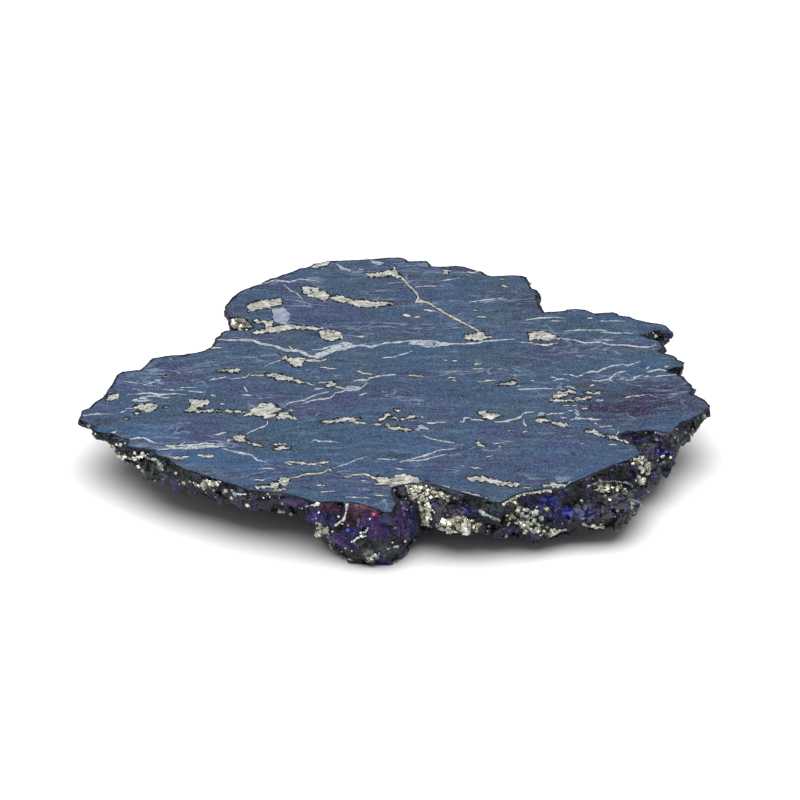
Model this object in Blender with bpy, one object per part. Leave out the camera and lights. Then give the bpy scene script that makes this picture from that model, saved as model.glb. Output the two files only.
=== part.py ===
"""A thin slab of covellite with pyrite: one broken piece of rock, cut and polished on its upper side.

The slab lies on three low feet of natural rock. Its polished face is flat and level. Around it the rock is
broken: at the front it juts out under the face as ledges and one deep lump, and elsewhere it is a rough edge
3 to 5 mm thick. Lengths below are in millimetres, X to the right and Y to the back.
"""

import bmesh
import bpy
import math
from mathutils import Matrix, Vector, noise
from mathutils.geometry import delaunay_2d_cdt, intersect_point_line

MM = 0.001
NAME = "covellite_slab"

FACE_HEIGHT = 10.5      # polished face above the surface that the slab lies on
SLAB_UNDERSIDE = 4.6    # height of the middle of the broken underside
RELIEF = 0.38           # how far the broken rock departs from its main facets
RELIEF_SCALE = 2.6      # size of those bumps and chips
UNDERSIDE_STEP = 4.6    # spacing of the points across the underside
LEAST_CLEARANCE = 0.35  # lowest that rock beside a foot may hang above the surface

# Edge of the polished face, clockwise seen from above, from the point at the far left.
LEFT_STEPS = [
    (-55.5, -7.0), (-55.4, -3.5), (-54.3, -2.8), (-53.2, -0.2), (-52.0, 1.4), (-51.0, 5.6), (-50.6, 7.6),
    (-50.2, 9.8), (-49.3, 11.0), (-46.1, 11.7), (-45.1, 14.0), (-44.2, 16.3), (-40.8, 17.3), (-38.9, 17.5),
    (-37.3, 18.1), (-35.6, 18.8), (-33.9, 20.4), (-33.2, 23.8), (-32.6, 24.4), (-32.4, 26.1), (-31.8, 26.9),
]
LEFT_NOTCH = [(-30.3, 27.2), (-27.8, 27.1), (-26.8, 28.5), (-27.8, 31.3), (-29.8, 32.3), (-31.2, 32.1)]
BACK_DOME = [
    (-32.1, 36.6), (-31.4, 38.8), (-31.0, 40.4), (-29.3, 43.3), (-28.2, 44.1), (-26.9, 45.4), (-25.8, 46.0),
    (-25.1, 47.3), (-24.1, 48.3), (-23.0, 48.7), (-22.1, 49.8), (-20.6, 50.6), (-18.8, 52.5), (-17.5, 52.9),
    (-16.2, 54.2), (-13.6, 55.6), (-9.3, 56.0), (-5.6, 56.4), (-2.8, 57.0), (0.0, 57.1), (0.9, 56.5),
]
BACK_STEPS = [
    (1.3, 55.5), (4.9, 55.7), (5.8, 53.4), (8.4, 53.2), (10.4, 53.7), (11.9, 53.1), (14.1, 51.5), (15.0, 51.2),
    (15.9, 49.8), (16.9, 49.2), (20.4, 49.6), (22.4, 49.4), (23.4, 48.7), (23.7, 46.4), (24.2, 44.1),
    (25.1, 43.5), (25.6, 41.8), (24.9, 40.9), (25.4, 37.8), (26.1, 34.4),
]
BACK_RIGHT = [
    (29.3, 34.8), (30.8, 35.5), (32.1, 35.7), (33.5, 35.5), (35.3, 33.9), (38.6, 34.4), (39.5, 33.9),
    (39.8, 33.0), (41.6, 32.5), (42.6, 31.5), (45.3, 30.2), (47.1, 29.7), (48.1, 28.9), (48.7, 26.9),
]
RIGHT_TEETH = [
    (46.0, 26.9), (43.6, 25.1), (45.5, 23.5), (46.8, 22.6), (46.8, 20.2), (46.1, 19.0), (47.4, 17.9),
    (48.8, 17.1), (49.3, 15.7), (50.5, 14.6), (50.0, 12.8), (48.4, 12.5), (47.4, 11.5), (48.8, 10.2),
    (49.8, 9.4), (50.4, 7.5), (51.2, 6.0), (51.2, 4.5), (50.8, 2.9), (51.9, 1.9), (53.1, 0.2), (53.8, -1.5),
    (53.7, -2.6),
]
RIGHT_END = [(51.5, -5.5), (50.0, -7.0), (48.6, -7.7), (47.6, -9.5), (46.8, -11.5)]
RIGHT_POCKET = [(45.4, -11.7), (43.9, -11.0), (42.2, -10.8), (40.2, -11.4), (39.2, -11.0), (37.6, -12.4)]
RIGHT_FRONT = [
    (38.9, -14.6), (40.3, -16.2), (41.2, -18.9), (39.8, -20.6), (36.3, -23.1), (34.2, -24.7), (32.4, -26.4),
    (30.8, -27.8), (28.9, -29.2), (27.7, -31.1), (26.1, -31.8), (24.3, -31.2), (22.6, -31.8), (20.7, -32.6),
    (19.2, -33.5), (18.0, -34.8), (16.8, -36.2),
]
FRONT_BAY = [
    (14.8, -35.7), (13.4, -34.5), (11.4, -33.5), (9.4, -32.4), (6.9, -30.7), (5.0, -29.7), (3.0, -29.0),
    (1.2, -30.0), (-0.3, -30.4), (-1.5, -31.2),
]
FRONT_TONGUE = [
    (-1.2, -32.8), (-0.7, -34.5), (-0.8, -36.9), (-1.5, -39.4), (-2.7, -39.4), (-4.2, -38.0), (-6.0, -36.9),
    (-8.3, -36.0), (-10.8, -35.8), (-13.3, -36.0), (-15.0, -35.7), (-16.3, -34.8),
]
FRONT_LEFT = [
    (-18.0, -33.6), (-20.1, -32.8), (-24.1, -32.2), (-25.6, -31.8), (-27.2, -30.6), (-31.1, -28.1),
    (-34.9, -25.7), (-36.7, -24.7), (-37.9, -23.4), (-39.0, -22.0), (-39.4, -20.8), (-41.2, -19.9),
    (-41.9, -19.2), (-40.9, -18.3), (-42.3, -18.0), (-45.2, -17.3), (-46.5, -16.7), (-46.9, -15.3),
    (-46.7, -14.2), (-47.8, -13.7), (-49.3, -12.4), (-51.9, -11.4), (-52.9, -10.6), (-52.6, -9.5), (-54.4, -8.1),
]
BROKEN_BACK = LEFT_STEPS + LEFT_NOTCH + BACK_DOME + BACK_STEPS + BACK_RIGHT + RIGHT_TEETH
POLISHED_EDGE = BROKEN_BACK + RIGHT_END + RIGHT_POCKET + RIGHT_FRONT + FRONT_BAY + FRONT_TONGUE + FRONT_LEFT

# Round the back the rock drops away just outside the face's edge, in one broken wall.
BACK_BULGE = 0.2        # how far it bulges past the face
BACK_SHOULDER = 9.4     # height of that bulge
BACK_STEP_IN = 1.3      # how far in from there the underside edge lies
BACK_UNDERSIDE = 5.6    # height of the underside edge
BACK_UNEVENNESS = 0.9   # how much the last two vary along the wall

# Where the slab runs out thin: x, y, how much higher the underside edge is there, and how far that reaches.
THIN_ENDS = [(-55.5, -5.0, 3.6, 10.0), (53.8, -1.5, 1.9, 9.0), (48.4, 28.0, 1.6, 6.0), (-32.0, 37.0, 1.2, 9.0)]

# Outermost rock below the front of the face, from the right-hand point round to the left-hand one. Each row is
# x, y and height of the rock's furthest reach, then how far in from there the underside starts, and how high.
FRONT_RIM = [
    # under the right-hand point and the pocket beside it
    (51.9, -5.9, 9.0, 0.9, 7.0), (50.2, -7.7, 8.6, 1.0, 6.6), (48.8, -9.3, 7.9, 0.9, 5.8),
    (47.6, -12.2, 7.0, 0.8, 4.8), (46.9, -14.6, 6.4, 0.8, 4.4), (45.9, -17.2, 6.0, 0.8, 4.2),
    (44.4, -18.7, 5.8, 0.8, 4.0), (42.8, -19.3, 5.8, 0.8, 4.0),
    # the long ledge at the right of the front
    (42.2, -21.2, 5.8, 0.8, 4.0), (42.0, -23.3, 5.6, 0.8, 3.8), (41.1, -25.6, 5.6, 0.8, 3.8),
    (41.0, -28.0, 5.6, 0.8, 3.5), (39.5, -29.2, 5.6, 0.7, 3.5), (38.9, -31.4, 5.8, 0.8, 3.4),
    (37.3, -32.5, 5.9, 0.8, 3.4), (35.5, -33.1, 5.8, 0.8, 3.3), (33.5, -33.7, 5.8, 0.8, 3.2),
    (31.1, -33.4, 5.6, 0.8, 3.0), (29.3, -33.5, 5.4, 0.8, 2.8), (28.0, -34.0, 5.2, 0.8, 2.5),
    (26.2, -34.4, 5.0, 0.8, 2.4), (24.6, -34.8, 4.8, 0.8, 2.3), (23.6, -35.8, 4.6, 0.8, 2.2),
    (21.7, -36.0, 4.6, 0.9, 2.5), (20.1, -35.4, 5.0, 0.9, 2.8), (18.2, -35.9, 5.6, 0.8, 3.0),
    # the crust of pyrite left of it, which hangs less deep
    (16.5, -37.1, 6.6, 0.9, 3.4), (14.6, -36.6, 6.4, 0.9, 3.8), (12.8, -36.4, 6.2, 0.8, 4.0),
    (11.3, -37.4, 6.2, 0.8, 4.2), (9.8, -37.2, 6.4, 0.8, 4.5), (8.5, -36.8, 6.4, 0.8, 4.8),
    (6.8, -36.8, 6.6, 0.8, 5.0), (5.4, -36.6, 6.8, 0.8, 5.0), (4.6, -35.0, 6.6, 0.6, 4.2),
    # the deep lump, which reaches the surface
    (3.5, -33.2, 5.6, 0.5, 2.4), (2.7, -34.7, 4.4, 0.7, 1.0), (1.6, -36.8, 3.8, 0.9, 0.6),
    (0.2, -38.8, 3.6, 1.0, 0.3), (-1.2, -40.0, 3.6, 1.2, 0.0), (-3.2, -40.3, 3.4, 1.3, 0.0),
    (-5.6, -40.1, 3.4, 1.3, 0.0), (-8.0, -39.6, 3.6, 1.3, 0.0), (-10.2, -38.5, 4.0, 1.4, 0.3),
    (-12.2, -37.4, 4.8, 2.0, 0.8), (-13.9, -36.6, 6.2, 2.8, 1.6), (-15.4, -36.1, 8.2, 3.4, 2.8),
    # the thin rim along the left of the front
    (-16.7, -35.2, 9.4, 3.6, 3.8), (-18.3, -34.0, 9.6, 3.2, 4.6), (-20.2, -33.2, 9.6, 2.7, 5.2),
    (-22.2, -32.8, 9.5, 2.4, 5.5), (-24.2, -32.6, 9.5, 2.3, 5.7), (-25.9, -32.2, 9.5, 2.0, 5.8),
    (-27.5, -31.0, 9.4, 1.6, 5.8), (-29.4, -29.8, 9.4, 1.3, 5.8), (-31.4, -28.5, 9.3, 1.2, 5.8),
    (-33.3, -27.3, 9.2, 1.1, 5.8), (-35.2, -26.1, 9.0, 1.0, 5.8), (-37.0, -25.1, 9.0, 1.0, 5.8),
    # the rough dark lump below the chipped stretch of the face
    (-38.7, -24.5, 8.8, 0.9, 5.9), (-40.0, -23.5, 8.6, 0.9, 6.0), (-41.3, -22.5, 8.6, 0.8, 6.2),
    (-42.7, -22.0, 8.4, 0.8, 6.0), (-43.9, -21.2, 8.4, 0.8, 6.0), (-44.7, -19.8, 8.6, 0.8, 6.2),
    (-45.1, -18.2, 8.8, 0.7, 6.5), (-46.6, -17.3, 9.0, 0.7, 6.8), (-48.0, -16.8, 9.0, 0.7, 7.0),
    (-49.2, -15.9, 9.2, 0.8, 7.2), (-49.4, -14.3, 9.3, 0.8, 7.4), (-49.5, -13.0, 9.4, 0.7, 7.8),
    (-50.9, -12.0, 9.6, 0.7, 8.5), (-52.2, -11.6, 9.6, 0.7, 8.8), (-53.2, -10.8, 9.7, 0.6, 8.9),
    (-53.0, -9.6, 9.7, 0.5, 9.0), (-54.6, -8.3, 9.8, 0.6, 9.0),
]

# Spot heights of the rock between the face's edge and the rim: crests, hollows and ledges seen from above.
SPOT_HEIGHTS = [
    # pocket at the right: a dark hollow below the face, then a low shoulder
    (44.8, -12.9, 8.8), (42.3, -12.2, 8.6), (40.1, -12.8, 8.4), (39.4, -13.6, 8.9), (41.9, -15.4, 8.0),
    (44.6, -15.6, 7.6), (46.2, -13.2, 7.8), (43.2, -17.4, 7.4), (45.0, -17.0, 6.9), (41.9, -17.6, 8.6),
    # long ledge: an undercut just below the face, a lumpy shelf, then its outer drop
    (41.2, -20.4, 7.2), (39.6, -22.3, 6.6), (40.6, -23.6, 6.9), (37.0, -24.2, 6.5), (38.9, -25.8, 7.3),
    (34.6, -26.2, 6.6), (36.4, -27.6, 7.6), (39.5, -27.6, 6.8), (33.2, -27.9, 6.8), (34.3, -30.0, 7.6),
    (37.5, -30.1, 7.0), (31.4, -29.2, 6.9), (31.6, -31.4, 7.4), (34.8, -31.9, 6.8), (29.6, -30.8, 7.0),
    (28.6, -32.4, 6.6), (30.4, -32.6, 6.6), (26.4, -33.0, 7.6), (24.6, -32.6, 8.2), (25.2, -33.8, 6.2),
    (22.9, -33.0, 8.6), (22.6, -34.6, 6.6), (20.8, -33.8, 8.4), (20.4, -34.6, 6.8), (19.0, -34.8, 8.6),
    # front bay: a steep flat facet under the face, with a crust of pyrite below and left of it
    (16.6, -36.7, 9.2), (14.4, -36.1, 9.0), (12.8, -35.4, 8.6), (11.0, -34.8, 8.4), (9.0, -34.0, 8.2),
    (12.0, -36.2, 7.0), (9.6, -35.8, 7.0), (7.2, -33.4, 8.8), (7.0, -35.4, 7.9), (5.6, -32.4, 9.4),
    (5.4, -34.8, 8.4), (4.2, -31.2, 9.7), (4.2, -33.2, 8.6), (2.6, -30.6, 9.8), (2.9, -32.4, 8.9),
    # right flank of the deep lump, below the crust
    (1.2, -31.6, 9.5), (1.6, -33.2, 8.8), (-0.4, -31.8, 9.3), (0.2, -33.2, 8.9), (0.5, -35.0, 8.2),
    (1.8, -34.9, 6.8), (0.3, -37.2, 7.2), (-0.2, -38.6, 6.6), (0.9, -36.9, 5.6),
    # brow of the deep lump
    (-1.6, -39.8, 8.2), (-3.2, -39.8, 7.6), (-5.0, -39.2, 7.4), (-6.6, -38.1, 8.4), (-7.4, -38.9, 6.4),
    (-8.6, -37.3, 8.2), (-9.6, -38.0, 6.4), (-10.8, -36.7, 8.4), (-11.6, -37.2, 6.6), (-13.2, -36.4, 8.4),
    # hollow and knob below the chipped stretch at the left
    (-41.2, -21.2, 9.6), (-42.6, -20.6, 9.4), (-43.2, -19.2, 9.8), (-39.9, -22.4, 9.7), (-48.0, -15.2, 9.9),
]

# The three feet: x, y, radius of the flat that rests, radius where the foot has merged into the underside.
FEET = [(-4.6, -35.4, 2.6, 9.5), (33.0, 13.0, 2.4, 11.0), (-23.0, 21.0, 2.4, 11.0)]
FOOT_SIDES = 10
FOOT_UNEVENNESS = 0.35  # how much that second radius varies round a foot

# Thicker and thinner parts of the slab away from the feet: x, y, how much lower the underside is, and its reach.
SWELLS = [(6.0, 2.0, 1.9, 24.0), (-2.0, 36.0, 0.9, 14.0), (30.0, -18.0, 1.2, 12.0), (-36.0, -6.0, -1.3, 16.0)]


def clear_scene():
    for item in list(bpy.data.objects):
        bpy.data.objects.remove(item, do_unlink=True)


def outward(loop, index):
    """Unit vector away from a clockwise loop at one of its points."""
    before, here, after = (Vector(loop[(index + step) % len(loop)][:2]) for step in (-1, 0, 1))
    sides = [Vector((-run.y, run.x)).normalized() for run in (here - before, after - here)]
    return (sides[0] + sides[1]).normalized()


def back_rim():
    """The rock's outermost line round the back, in the same rows as the front's."""
    rows = []
    for index, point in enumerate(BROKEN_BACK):
        place = Vector(point)
        uneven = noise.noise_vector(Vector((place.x, place.y, 7.0)) / 4.0)
        under = BACK_UNDERSIDE + BACK_UNEVENNESS * uneven.x
        for x, y, rise, reach in THIN_ENDS:
            under += rise * math.exp(-((place - Vector((x, y))).length / reach) ** 2)
        place += BACK_BULGE * outward(POLISHED_EDGE, index)
        step_in = BACK_STEP_IN + BACK_UNEVENNESS * abs(uneven.y)
        rows.append((place.x, place.y, BACK_SHOULDER, step_in, min(under, BACK_SHOULDER - 0.4)))
    return rows


def distance_to(loop, place):
    """Distance from a place to a closed line, and the number of the line's nearest stretch."""
    best = (math.inf, 0)
    for index, start in enumerate(loop):
        end = loop[(index + 1) % len(loop)]
        foot, share = intersect_point_line(place, Vector(start[:2]), Vector(end[:2]))
        nearest = Vector(start[:2]).lerp(Vector(end[:2]), min(max(share, 0.0), 1.0))
        best = min(best, ((nearest - place).length, index))
    return best


def inside(loop, place):
    """Whether a place lies within a closed line."""
    found = False
    for index, start in enumerate(loop):
        end = loop[(index + 1) % len(loop)]
        if (start[1] > place.y) == (end[1] > place.y):
            continue
        crossing = start[0] + (place.y - start[1]) / (end[1] - start[1]) * (end[0] - start[0])
        found ^= place.x < crossing
    return found


def eased(share):
    share = min(max(share, 0.0), 1.0)
    return share * share * (3.0 - 2.0 * share)


def underside_height(place):
    """Height of the broken underside away from its edge, with the feet on it."""
    height = SLAB_UNDERSIDE + 0.9 * noise.noise(Vector((place.x, place.y, 3.0)) / 9.0)
    for x, y, depth, reach in SWELLS:
        height -= depth * math.exp(-((place.x - x) ** 2 + (place.y - y) ** 2) / reach**2)
    for x, y, flat, reach in FEET:
        run = place - Vector((x, y))
        reach *= 1.0 + FOOT_UNEVENNESS * math.sin(2.0 * math.atan2(run.y, run.x) + 0.1 * x)
        height *= eased((run.length - flat) / (reach - flat)) ** 0.7
    return height


def underside_points(edge):
    """Points across the underside, within its edge: the feet's flats, and a loose net of points elsewhere."""
    points = []
    for x, y, flat, _ in FEET:
        points.append((x, y, 0.0))
        for side in range(FOOT_SIDES):
            angle = math.tau * side / FOOT_SIDES
            points.append((x + flat * math.cos(angle), y + flat * math.sin(angle), 0.0))
    rows = int(110.0 / UNDERSIDE_STEP)
    for row in range(-rows, rows):
        for column in range(-rows, rows):
            shift = noise.noise_vector(Vector((row, column, 0.5)) * 1.7) * 1.3
            place = Vector((column + 0.5 * (row % 2), row * 0.87)) * UNDERSIDE_STEP + shift.xy
            on_foot = any((place - Vector((x, y))).length < flat + 1.2 for x, y, flat, _ in FEET)
            if on_foot or not inside(edge, place):
                continue
            away, stretch = distance_to(edge, place)
            if away < 1.6:
                continue
            share = eased((away - 1.0) / 8.0)
            height = (1.0 - share) * edge[stretch][2] + share * underside_height(place)
            points.append((place.x, place.y, max(height, LEAST_CLEARANCE)))
    return points


def surface(outline, inner, others):
    """Triangles over the outline's inside that keep the inner line as edges, as numbers into the three lists."""
    points = outline + inner + others
    first = len(outline)
    rings = [(start, count) for start, count in ((0, first), (first, len(inner)))]
    edges = [(start + step, start + (step + 1) % count) for start, count in rings for step in range(count)]
    around = [list(range(first))]
    flat = [Vector(point[:2]) for point in points]
    made, _, triangles, origins, _, _ = delaunay_2d_cdt(flat, edges, around, 1, 1e-6)
    assert len(made) == len(points), "two lines of the slab cross"
    return [[origins[corner][0] for corner in triangle] for triangle in triangles]


def slab_mesh():
    """The rock as one closed mesh: the face and the slopes below it on top, the underside below."""
    rim = back_rim() + FRONT_RIM
    outline = [row[:3] for row in rim]
    under_edge = []
    for index, (x, y, _, step_in, under) in enumerate(rim):
        place = Vector((x, y)) - step_in * outward(rim, index)
        under_edge.append((place.x, place.y, under))
    face = [(x, y, FACE_HEIGHT) for x, y in POLISHED_EDGE]
    below = underside_points(under_edge)
    top = surface(outline, face, SPOT_HEIGHTS)
    bottom = surface(outline, under_edge, below)
    above = len(outline) + len(face) + len(SPOT_HEIGHTS)
    points = outline + face + SPOT_HEIGHTS + under_edge + below
    rows = [tuple(triangle) for triangle in top]
    for triangle in bottom:
        corners = [corner if corner < len(outline) else corner - len(outline) + above for corner in triangle]
        rows.append(tuple(reversed(corners)))
    mesh = bpy.data.meshes.new(NAME)
    mesh.from_pydata([Vector(point) for point in points], [], rows)
    mesh.validate()
    return mesh


def roughen(mesh):
    """Halves the broken rock's facets and shifts their corners, and leaves the face and the feet flat."""
    work = bmesh.new()
    work.from_mesh(mesh)
    bmesh.ops.recalc_face_normals(work, faces=work.faces)
    broken = [face for face in work.faces if min(corner.co.z for corner in face.verts) < FACE_HEIGHT - 0.01]
    edges = list({edge for face in broken for edge in face.edges})
    bmesh.ops.subdivide_edges(work, edges=edges, cuts=1, use_grid_fill=True)
    bmesh.ops.triangulate(work, faces=work.faces)
    work.normal_update()
    moves = {}
    for corner in work.verts:
        if corner.co.z > FACE_HEIGHT - 0.01 or corner.co.z < 0.01:
            continue
        bumps = noise.noise_vector(corner.co / RELIEF_SCALE) + 0.5 * noise.noise_vector(corner.co / 1.1)
        moves[corner] = RELIEF * bumps
    for corner, move in moves.items():
        corner.co += move
        corner.co.z = min(max(corner.co.z, LEAST_CLEARANCE), FACE_HEIGHT - 0.25)
    work.to_mesh(mesh)
    work.free()


def stand_on_origin(mesh):
    """Puts the middle of the slab's box above the origin, with its feet at height 0, in metres."""
    low = Vector(min(point.co[axis] for point in mesh.vertices) for axis in range(3))
    high = Vector(max(point.co[axis] for point in mesh.vertices) for axis in range(3))
    middle = (low + high) / 2.0
    mesh.transform(Matrix.Scale(MM, 4) @ Matrix.Translation((-middle.x, -middle.y, -low.z)))


def finish(name, colour, roughness, metallic):
    material = bpy.data.materials.new(name)
    material.use_nodes = True
    shader = material.node_tree.nodes["Principled BSDF"]
    shader.inputs["Base Color"].default_value = (*colour, 1.0)
    shader.inputs["Roughness"].default_value = roughness
    shader.inputs["Metallic"].default_value = metallic
    material.diffuse_color = (*colour, 1.0)
    return material


def build():
    clear_scene()
    collection = bpy.data.collections.new("covellite_specimen")
    bpy.context.scene.collection.children.link(collection)
    mesh = slab_mesh()
    roughen(mesh)
    stand_on_origin(mesh)
    mesh.materials.append(finish("broken_covellite", (0.030, 0.035, 0.052), 0.55, 0.4))
    mesh.materials.append(finish("polished_covellite", (0.075, 0.115, 0.215), 0.25, 0.5))
    for facet in mesh.polygons:
        level = facet.normal.z > 0.999 and facet.center.z > (FACE_HEIGHT - 0.01) * MM
        facet.material_index = 1 if level else 0
    collection.objects.link(bpy.data.objects.new(NAME, mesh))


build()
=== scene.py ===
import bmesh
import bpy
import math
import numpy as np
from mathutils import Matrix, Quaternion, Vector, noise
from mathutils.bvhtree import BVHTree
from mathutils.geometry import delaunay_2d_cdt
from mathutils.kdtree import KDTree


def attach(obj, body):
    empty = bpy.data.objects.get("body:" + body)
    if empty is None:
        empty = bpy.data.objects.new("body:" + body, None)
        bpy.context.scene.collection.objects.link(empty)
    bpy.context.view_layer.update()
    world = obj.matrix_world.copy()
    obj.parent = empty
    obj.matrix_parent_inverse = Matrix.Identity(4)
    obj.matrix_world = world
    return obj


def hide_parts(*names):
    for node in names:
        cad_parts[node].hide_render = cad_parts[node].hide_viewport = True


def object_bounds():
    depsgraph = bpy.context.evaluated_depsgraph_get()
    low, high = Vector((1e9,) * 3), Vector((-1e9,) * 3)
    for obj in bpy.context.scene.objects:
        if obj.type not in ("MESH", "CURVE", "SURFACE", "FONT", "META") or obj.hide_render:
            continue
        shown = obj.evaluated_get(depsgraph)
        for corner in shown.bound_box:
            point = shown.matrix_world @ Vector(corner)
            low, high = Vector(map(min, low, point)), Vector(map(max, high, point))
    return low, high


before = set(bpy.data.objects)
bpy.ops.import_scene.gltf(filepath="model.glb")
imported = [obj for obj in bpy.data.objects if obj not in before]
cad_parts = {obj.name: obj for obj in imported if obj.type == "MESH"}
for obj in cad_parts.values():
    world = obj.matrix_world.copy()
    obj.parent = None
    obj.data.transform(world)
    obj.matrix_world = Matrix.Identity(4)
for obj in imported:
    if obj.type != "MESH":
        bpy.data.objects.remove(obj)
cad_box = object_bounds()
bpy.ops.object.select_all(action="DESELECT")
noise.seed_set(5)           # without a seed, the directions of the noise differ from run to run


# The broken rock of the slab: fine-grained covellite with pyrite, snapped off all round and left rough
# below. It starts as a copy of the imported solid, which is merged, opened at the polished face, split
# into finer facets and chipped. The colours of its grains, crusts and films are painted on it, and so is
# painted shade: along the edge of the polished face, in some hollows and between the grains of the crusts.
MM = 0.001
FACE_LEVEL = cad_box[1].z
SAME_PLACE = 0.002 * MM     # corners nearer to each other than this are one
LEVEL_WITHIN = 0.01 * MM    # faces this near to the top of the solid are the polished face
VISIBLE_FACET = 0.34 * MM   # longest edge of a facet that the front shows
UNDERSIDE_FACET = 1.5 * MM  # longest edge of a facet below
LARGE_CHIP = 2.7            # sizes of the flat chips that the rock broke into, in mm
SMALL_CHIP = 1.0
CRUST_CHIP = 0.6
CHIP_SINK = 0.12            # how far inside the solid the chipped rock lies, in mm
FOOT_HEIGHT = 0.02          # what is lower than this, in mm, is a flat foot and isn't chipped
LOWEST_CHIP = 0.12          # lowest place that chipped rock reaches, in mm
BELOW_FACE = 0.08           # how far it stays below the polished face, in mm
INSIDE_BOX = 0.01           # how far it stays inside the sides of the solid's box, in mm
EDGE_DROP = 0.16            # how far the worn edge of the polished face lies below it, in mm
EDGE_RAGGED = 0.14          # how far that edge wanders sideways, in mm

# Where a place on the specimen shows in an 800-pixel square picture taken from the front, 28 degrees up.
VIEW_UP = math.radians(28.0)
VIEW_DISTANCE = 0.700
VIEW_TARGET = Vector((0.0008835, -0.0084538, 0.0105))
VIEW_CENTRE = 400.0
VIEW_FOCAL = 4011.5
TOWARDS_VIEW = Vector((0.0, -math.cos(VIEW_UP), math.sin(VIEW_UP)))
VIEW_FROM = VIEW_TARGET + VIEW_DISTANCE * TOWARDS_VIEW


def seen_at(place):
    """Picture position u, v of a place in metres."""
    off = place - VIEW_TARGET
    depth = VIEW_DISTANCE - off.dot(TOWARDS_VIEW)
    rise = off.y * math.sin(VIEW_UP) + off.z * math.cos(VIEW_UP)
    return VIEW_CENTRE + VIEW_FOCAL * off.x / depth, VIEW_CENTRE - VIEW_FOCAL * rise / depth


LIGHT_GAIN = 1.52           # how much brighter than its own colour a level surface looks in this light


def tone(red, green, blue):
    """Own colour, linear, of what looks like a screen colour, 0 to 255, in this scene's light."""
    screen = [value / 255.0 for value in (red, green, blue)]
    linear = [value / 12.92 if value < 0.04 else ((value + 0.055) / 1.055) ** 2.4 for value in screen]
    return Vector(linear) / LIGHT_GAIN


def soft(share):
    """A share kept between 0 and 1, with smooth ends."""
    share = min(max(share, 0.0), 1.0)
    return share * share * (3.0 - 2.0 * share)


# Paints of the broken rock: colour, then how much it is crusted with pyrite, beset with quartz and
# broken smooth, each from 0 to 1.
PAINTS = {
    "black": (tone(15, 17, 21), 0.0, 0.0, 0.3), "green black": (tone(46, 54, 50), 0.05, 0.1, 0.0),
    "slate": (tone(62, 72, 82), 0.05, 0.15, 0.2), "charcoal": (tone(32, 36, 44), 0.05, 0.05, 0.2),
    "indigo": (tone(52, 54, 108), 0.0, 0.0, 0.8), "blue": (tone(38, 46, 122), 0.0, 0.0, 0.5),
    "blue violet": (tone(52, 56, 116), 0.0, 0.0, 0.3), "bright blue": (tone(58, 58, 184), 0.0, 0.0, 0.6),
    "violet": (tone(86, 62, 122), 0.0, 0.0, 0.9), "maroon": (tone(92, 52, 80), 0.02, 0.0, 1.0),
    "magenta": (tone(196, 66, 116), 0.0, 0.0, 0.8), "rose": (tone(128, 80, 98), 0.0, 0.0, 0.8),
    "plum": (tone(44, 34, 52), 0.05, 0.1, 0.3), "grey green": (tone(78, 88, 84), 0.1, 0.35, 0.0),
    # Under its pyrite grains the crust is painted near black: partly the dark rock, partly painted shade in
    # the gaps between the grains.
    "crust": (tone(36, 35, 30), 1.0, 0.0, 0.0), "dark crust": (tone(32, 36, 34), 0.45, 0.1, 0.0),
    "pale bed": (tone(112, 122, 118), 0.0, 1.0, 0.0), "rust": (tone(84, 74, 58), 1.0, 0.0, 0.0),
    "mixed": (tone(66, 72, 62), 0.8, 0.5, 0.0), "wine": (tone(72, 42, 66), 0.0, 0.0, 0.8),
}

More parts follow.
